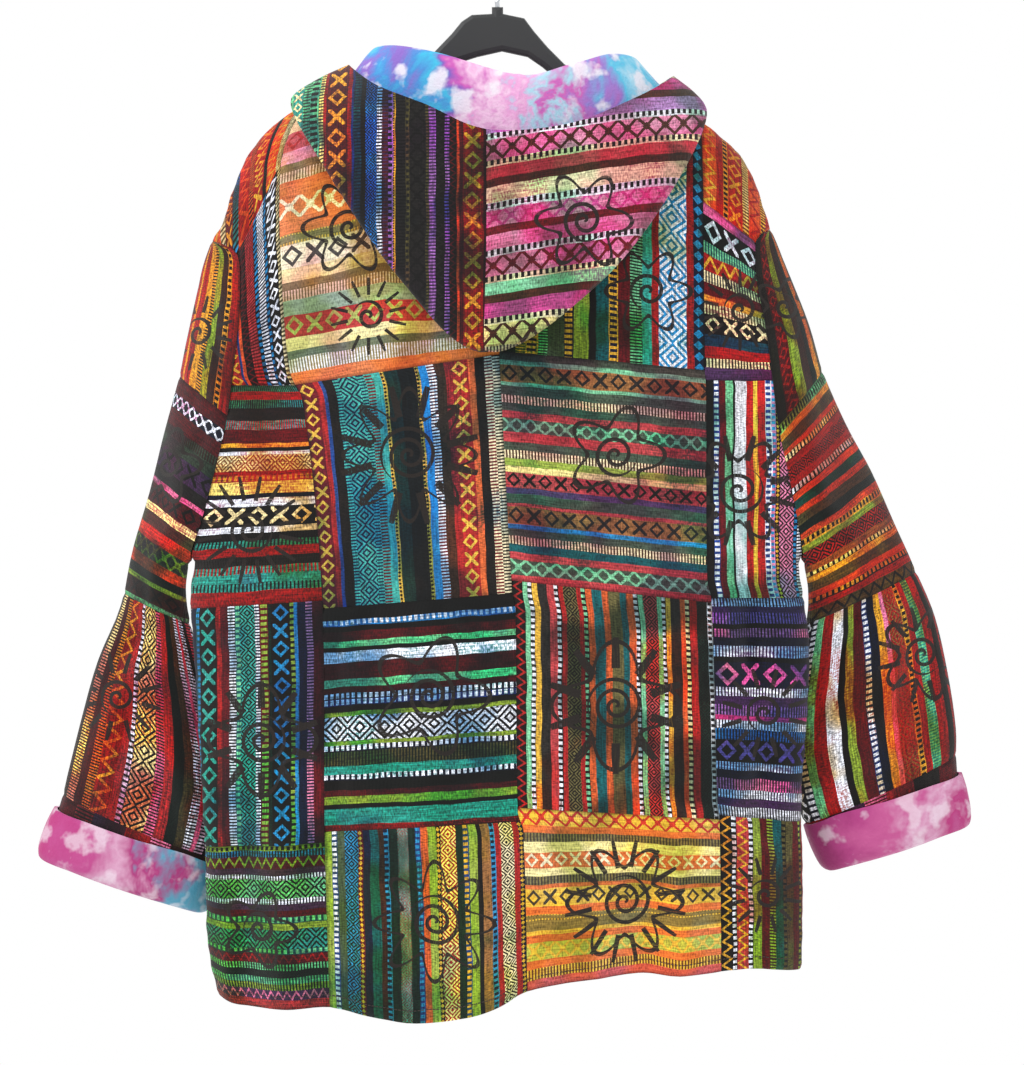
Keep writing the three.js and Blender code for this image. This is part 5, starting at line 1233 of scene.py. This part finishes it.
def geometry_tree(name, inputs):
    """An empty Geometry Nodes tree with named number inputs, its input node and the start socket."""
    tree = bpy.data.node_groups.new(name, "GeometryNodeTree")
    tree.interface.new_socket("Geometry", in_out="INPUT", socket_type="NodeSocketGeometry")
    for label in inputs:
        tree.interface.new_socket(label, in_out="INPUT", socket_type="NodeSocketFloat")
    tree.interface.new_socket("Geometry", in_out="OUTPUT", socket_type="NodeSocketGeometry")
    return tree, tree.nodes.new("NodeGroupInput")


def repeat_tree(name):
    """Small bars set along a path at an even pitch, each turned along it."""
    tree, start = geometry_tree(name, ["Pitch", "Long", "Wide", "Thick", "Zigzag"])
    path, pitch, long, wide, thick, zigzag = (start.outputs[i] for i in range(6))
    curve = add_node(tree, "GeometryNodeMeshToCurve", {"Mesh": path})
    even = add_node(tree, "GeometryNodeResampleCurve", {"Curve": curve, "Length": pitch}, mode="LENGTH")
    tangent = add_node(tree, "GeometryNodeInputTangent")
    turn = add_node(tree, "FunctionNodeAlignRotationToVector", {"Vector": tangent}, axis="X")
    size = add_node(tree, "ShaderNodeCombineXYZ", [long, wide, thick])
    bar = add_node(tree, "GeometryNodeMeshCube", {"Size": size})
    placed = add_node(tree, "GeometryNodeInstanceOnPoints", {"Points": even, "Instance": bar,
                                                             "Rotation": turn})
    index = add_node(tree, "GeometryNodeInputIndex")
    odd = add_node(tree, MATH, [index, 2], operation="FLOORED_MODULO")
    odd = add_node(tree, MATH, [odd, 2, -1], operation="MULTIPLY_ADD")
    shift = add_node(tree, MATH, [odd, zigzag], operation="MULTIPLY")
    shift = add_node(tree, "ShaderNodeCombineXYZ", [shift])
    moved = add_node(tree, "GeometryNodeTranslateInstances", {"Instances": placed, "Translation": shift})
    moved.inputs["Local Space"].default_value = False
    real = add_node(tree, "GeometryNodeRealizeInstances", {"Geometry": moved})
    painted = add_node(tree, "GeometryNodeSetMaterial", {"Geometry": real})
    end = tree.nodes.new("NodeGroupOutput")
    tree.links.new(painted.outputs[0], end.inputs[0])
    return tree, painted


def repeated(name, paths, sizes, material):
    """A plain mesh of bars along the paths; sizes are in metres by input name."""
    data = bpy.data.meshes.new(name + "_path")
    points, edges = [], []
    for path in paths:
        start = len(points)
        points.extend(tuple(p * MM) for p in path)
        edges.extend((start + i, start + i + 1) for i in range(len(path) - 1))
    data.from_pydata(points, edges, [])
    source = bpy.data.objects.new(name + "_path", data)
    bpy.context.scene.collection.objects.link(source)
    tree, painted = repeat_tree(name)
    painted.inputs["Material"].default_value = material
    modifier = source.modifiers.new(name, "NODES")
    modifier.node_group = tree
    for item in tree.interface.items_tree:
        if item.in_out == "INPUT" and item.name in sizes:
            modifier[item.identifier] = sizes[item.name]
    graph = bpy.context.evaluated_depsgraph_get()
    graph.update()
    made = bpy.data.meshes.new_from_object(source.evaluated_get(graph))
    bpy.data.objects.remove(source)
    obj = bpy.data.objects.new(name, made)
    bpy.context.scene.collection.objects.link(obj)
    return obj


class JACKET_OT_zip(bpy.types.Operator):
    """Lays the zip's tape and teeth between the fronts"""

    bl_idname = "jacket.zip"
    bl_label = "Zip"

    def execute(self, context):
        sizes = context.scene.jacket_sizes
        top, bottom = z_at(NECKS["front"], 0.0), z_at(HEM_LINE, TAPE_HALF)
        heights = np.linspace(top - 1, bottom, 120)
        x, z = np.meshgrid(np.linspace(-TAPE_HALF, TAPE_HALF, 9), heights)
        points, normals = cloth("body", "front", x, z)
        uvs = np.stack([z, (x + TAPE_HALF) / (2 * TAPE_HALF)], -1)
        tape = Mesh("zip_tape")
        tape.wall(points, normals, *ZIP_TAPE, uvs,
                  plain_material("woven polyester zip tape", "#22202a", 0.85, grain=1.2, strength=0.5))
        tape = tape.build()
        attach(tape, "jacket")
        line = [np.array([0.0, FRONT_DEPTH, height]) for height in heights[2:-3]]
        metal = plain_material("nickel-plated zip teeth", "#b8bac0", 0.32, 1.0)
        tooth = {"Pitch": sizes.tooth_pitch * MM, "Long": 0.0012, "Wide": 0.0046, "Thick": 0.0030,
                 "Zigzag": 0.0008}
        teeth = repeated("zip_teeth", [line], tooth, metal)
        finish_piece(teeth, ["zip_chain"])
        for node in ("zip_slider", "zip_pull"):
            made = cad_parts[node].data.materials
            made.clear()
            made.append(metal)
        return {"FINISHED"}


class JACKET_OT_stitches(bpy.types.Operator):
    """Runs the topstitching along the hem and beside the zip"""

    bl_idname = "jacket.stitches"
    bl_label = "Stitches"

    def execute(self, context):
        half = context.scene.jacket_sizes.cloth / 2
        paths = []
        for face in ("back", "front"):
            runs = [(-244, 256)] if face == "back" else [(-244, -12), (12, 256)]
            for start, stop in runs:
                x = np.linspace(start, stop, 160)
                points, normals = cloth("body", face, x, z_at(HEM_LINE, x) + 11)
                paths.append(points + normals * half)
        for x in (-9.0, 9.0):
            z = np.linspace(-205, -925, 160)
            points, normals = cloth("body", "front", np.full(160, x), z)
            paths.append(points + normals * half)
        thread = plain_material("spun polyester thread", "#3a2f2c", 0.8)
        sizes = {"Pitch": context.scene.jacket_sizes.stitch_pitch * MM, "Long": 0.0024, "Wide": 0.0007,
                 "Thick": 0.0007, "Zigzag": 0.0}
        obj = repeated("topstitching", paths, sizes, thread)
        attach(obj, "jacket")
        return {"FINISHED"}


class JACKET_OT_hanger(bpy.types.Operator):
    """Finishes the hanger and its hook"""

    bl_idname = "jacket.hanger"
    bl_label = "Hanger"

    def execute(self, context):
        finishes = {
            "hanger_body": plain_material("moulded matt polypropylene", "#2b2c2d", 0.55, grain=0.8,
                                          strength=0.3),
            "hanger_hook": plain_material("nickel-plated steel wire", "#b9bcc0", 0.28, 1.0),
        }
        for node, material in finishes.items():
            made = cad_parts[node].data.materials
            made.clear()
            made.append(material)
        return {"FINISHED"}


class JACKET_OT_stage(bpy.types.Operator):
    """Sets the pale floor, the soft lights and the camera"""

    bl_idname = "jacket.stage"
    bl_label = "Stage"

    def execute(self, context):
        scene = context.scene
        data = bpy.data.meshes.new("floor")
        reach, level = 1.3, -1.6
        data.from_pydata([(-reach, -reach, level), (reach, -reach, level), (reach, reach, level),
                          (-reach, reach, level)], [], [(0, 1, 2, 3)])
        floor = bpy.data.objects.new("floor", data)
        scene.collection.objects.link(floor)
        data.materials.append(plain_material("matt painted floor", "#f1f0ee", 0.9))
        world = bpy.data.worlds.new("studio")
        scene.world = world
        world.use_nodes = True
        world.node_tree.nodes["Background"].inputs[0].default_value = (1, 1, 1, 1)
        world.node_tree.nodes["Background"].inputs[1].default_value = 1.0
        for name, place, power, size in (
                ("key", (-1.9, -1.1, 1.5), 42, 1.0), ("fill", (1.9, -1.8, -0.2), 5, 1.8),
                ("rim", (0.4, 2.4, 0.8), 12, 1.6)):
            lamp = bpy.data.lights.new(name, "AREA")
            lamp.energy = power
            lamp.size = size
            holder = bpy.data.objects.new(name, lamp)
            holder.location = place
            way = np.array([0, 0, -0.53]) - np.array(place)
            holder.rotation_euler = (math.atan2(math.hypot(way[0], way[1]), -way[2]), 0,
                                     math.atan2(way[1], way[0]) - math.pi / 2)
            scene.collection.objects.link(holder)
        distance, picture_height = 2.0, 0.937
        camera = bpy.data.cameras.new("camera")
        camera.sensor_width = 36
        camera.lens = camera.sensor_width * (distance - 0.035) / picture_height
        holder = bpy.data.objects.new("camera", camera)
        holder.location = (0.008, -distance, -0.530)
        holder.rotation_euler = (math.pi / 2, 0, 0)
        scene.collection.objects.link(holder)
        scene.camera = holder
        scene.view_settings.view_transform = "Standard"
        return {"FINISHED"}


def size_property(label, note, default):
    return bpy.props.FloatProperty(name=label, description=note, default=default, min=0.0)


class JacketSizes(bpy.types.PropertyGroup):
    cell: size_property("Cell", "Spacing of the cloth's mesh, in millimetres", 4.2)
    cloth: size_property("Cloth", "Thickness of the patchwork cloth, in millimetres", 2.0)
    fleece: size_property("Fleece", "Thickness of the cuffs' fleece, in millimetres", 2.4)
    crease: size_property("Creases", "Height of the small creases, 1 as smoothed out", 2.5)
    seam_depth: size_property("Seam depth", "Depth of the groove along a seam, in millimetres", 1.1)
    seam_width: size_property("Seam width", "Half width of that groove, in millimetres", 2.6)
    zip_gap: size_property("Zip gap", "Gap between the fronts over the zip, in millimetres", 6.3)
    tooth_pitch: size_property("Tooth pitch", "Spacing of the zip's teeth, in millimetres", 2.0)
    stitch_pitch: size_property("Stitch pitch", "Spacing of the topstitches, in millimetres", 3.4)


class JacketColours(bpy.types.PropertyGroup):
    __annotations__ = {
        name: bpy.props.FloatVectorProperty(
            name=name.capitalize(), description=f"The {name} yarn and dye", subtype="COLOR", size=3,
            min=0, max=1, default=linear(code))
        for name, code in PALETTE.items()
    }


class JACKET_PT_panel(bpy.types.Panel):
    """The jacket's sizes, yarn colours and pieces"""

    bl_idname = "JACKET_PT_panel"
    bl_label = "Patchwork jacket"
    bl_space_type = "VIEW_3D"
    bl_region_type = "UI"
    bl_category = "Jacket"

    def draw(self, context):
        for group in (context.scene.jacket_sizes, context.scene.jacket_colours):
            for name in group.__annotations__:
                self.layout.prop(group, name)
        for operator in OPERATORS:
            self.layout.operator(operator.bl_idname)


OPERATORS = (JACKET_OT_back, JACKET_OT_fronts, JACKET_OT_sleeves, JACKET_OT_hood, JACKET_OT_cuffs,
             JACKET_OT_zip, JACKET_OT_stitches, JACKET_OT_hanger, JACKET_OT_stage)
CLASSES = (JacketSizes, JacketColours, *OPERATORS, JACKET_PT_panel)


def register():
    for cls in CLASSES:
        bpy.utils.register_class(cls)
    bpy.types.Scene.jacket_sizes = bpy.props.PointerProperty(type=JacketSizes)
    bpy.types.Scene.jacket_colours = bpy.props.PointerProperty(type=JacketColours)


def unregister():
    del bpy.types.Scene.jacket_colours
    del bpy.types.Scene.jacket_sizes
    for cls in reversed(CLASSES):
        bpy.utils.unregister_class(cls)


def main():
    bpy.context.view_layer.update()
    register()
    for operator in OPERATORS:
        group, name = operator.bl_idname.split(".")
        getattr(getattr(bpy.ops, group), name)()


if __name__ == "__main__":
    main()
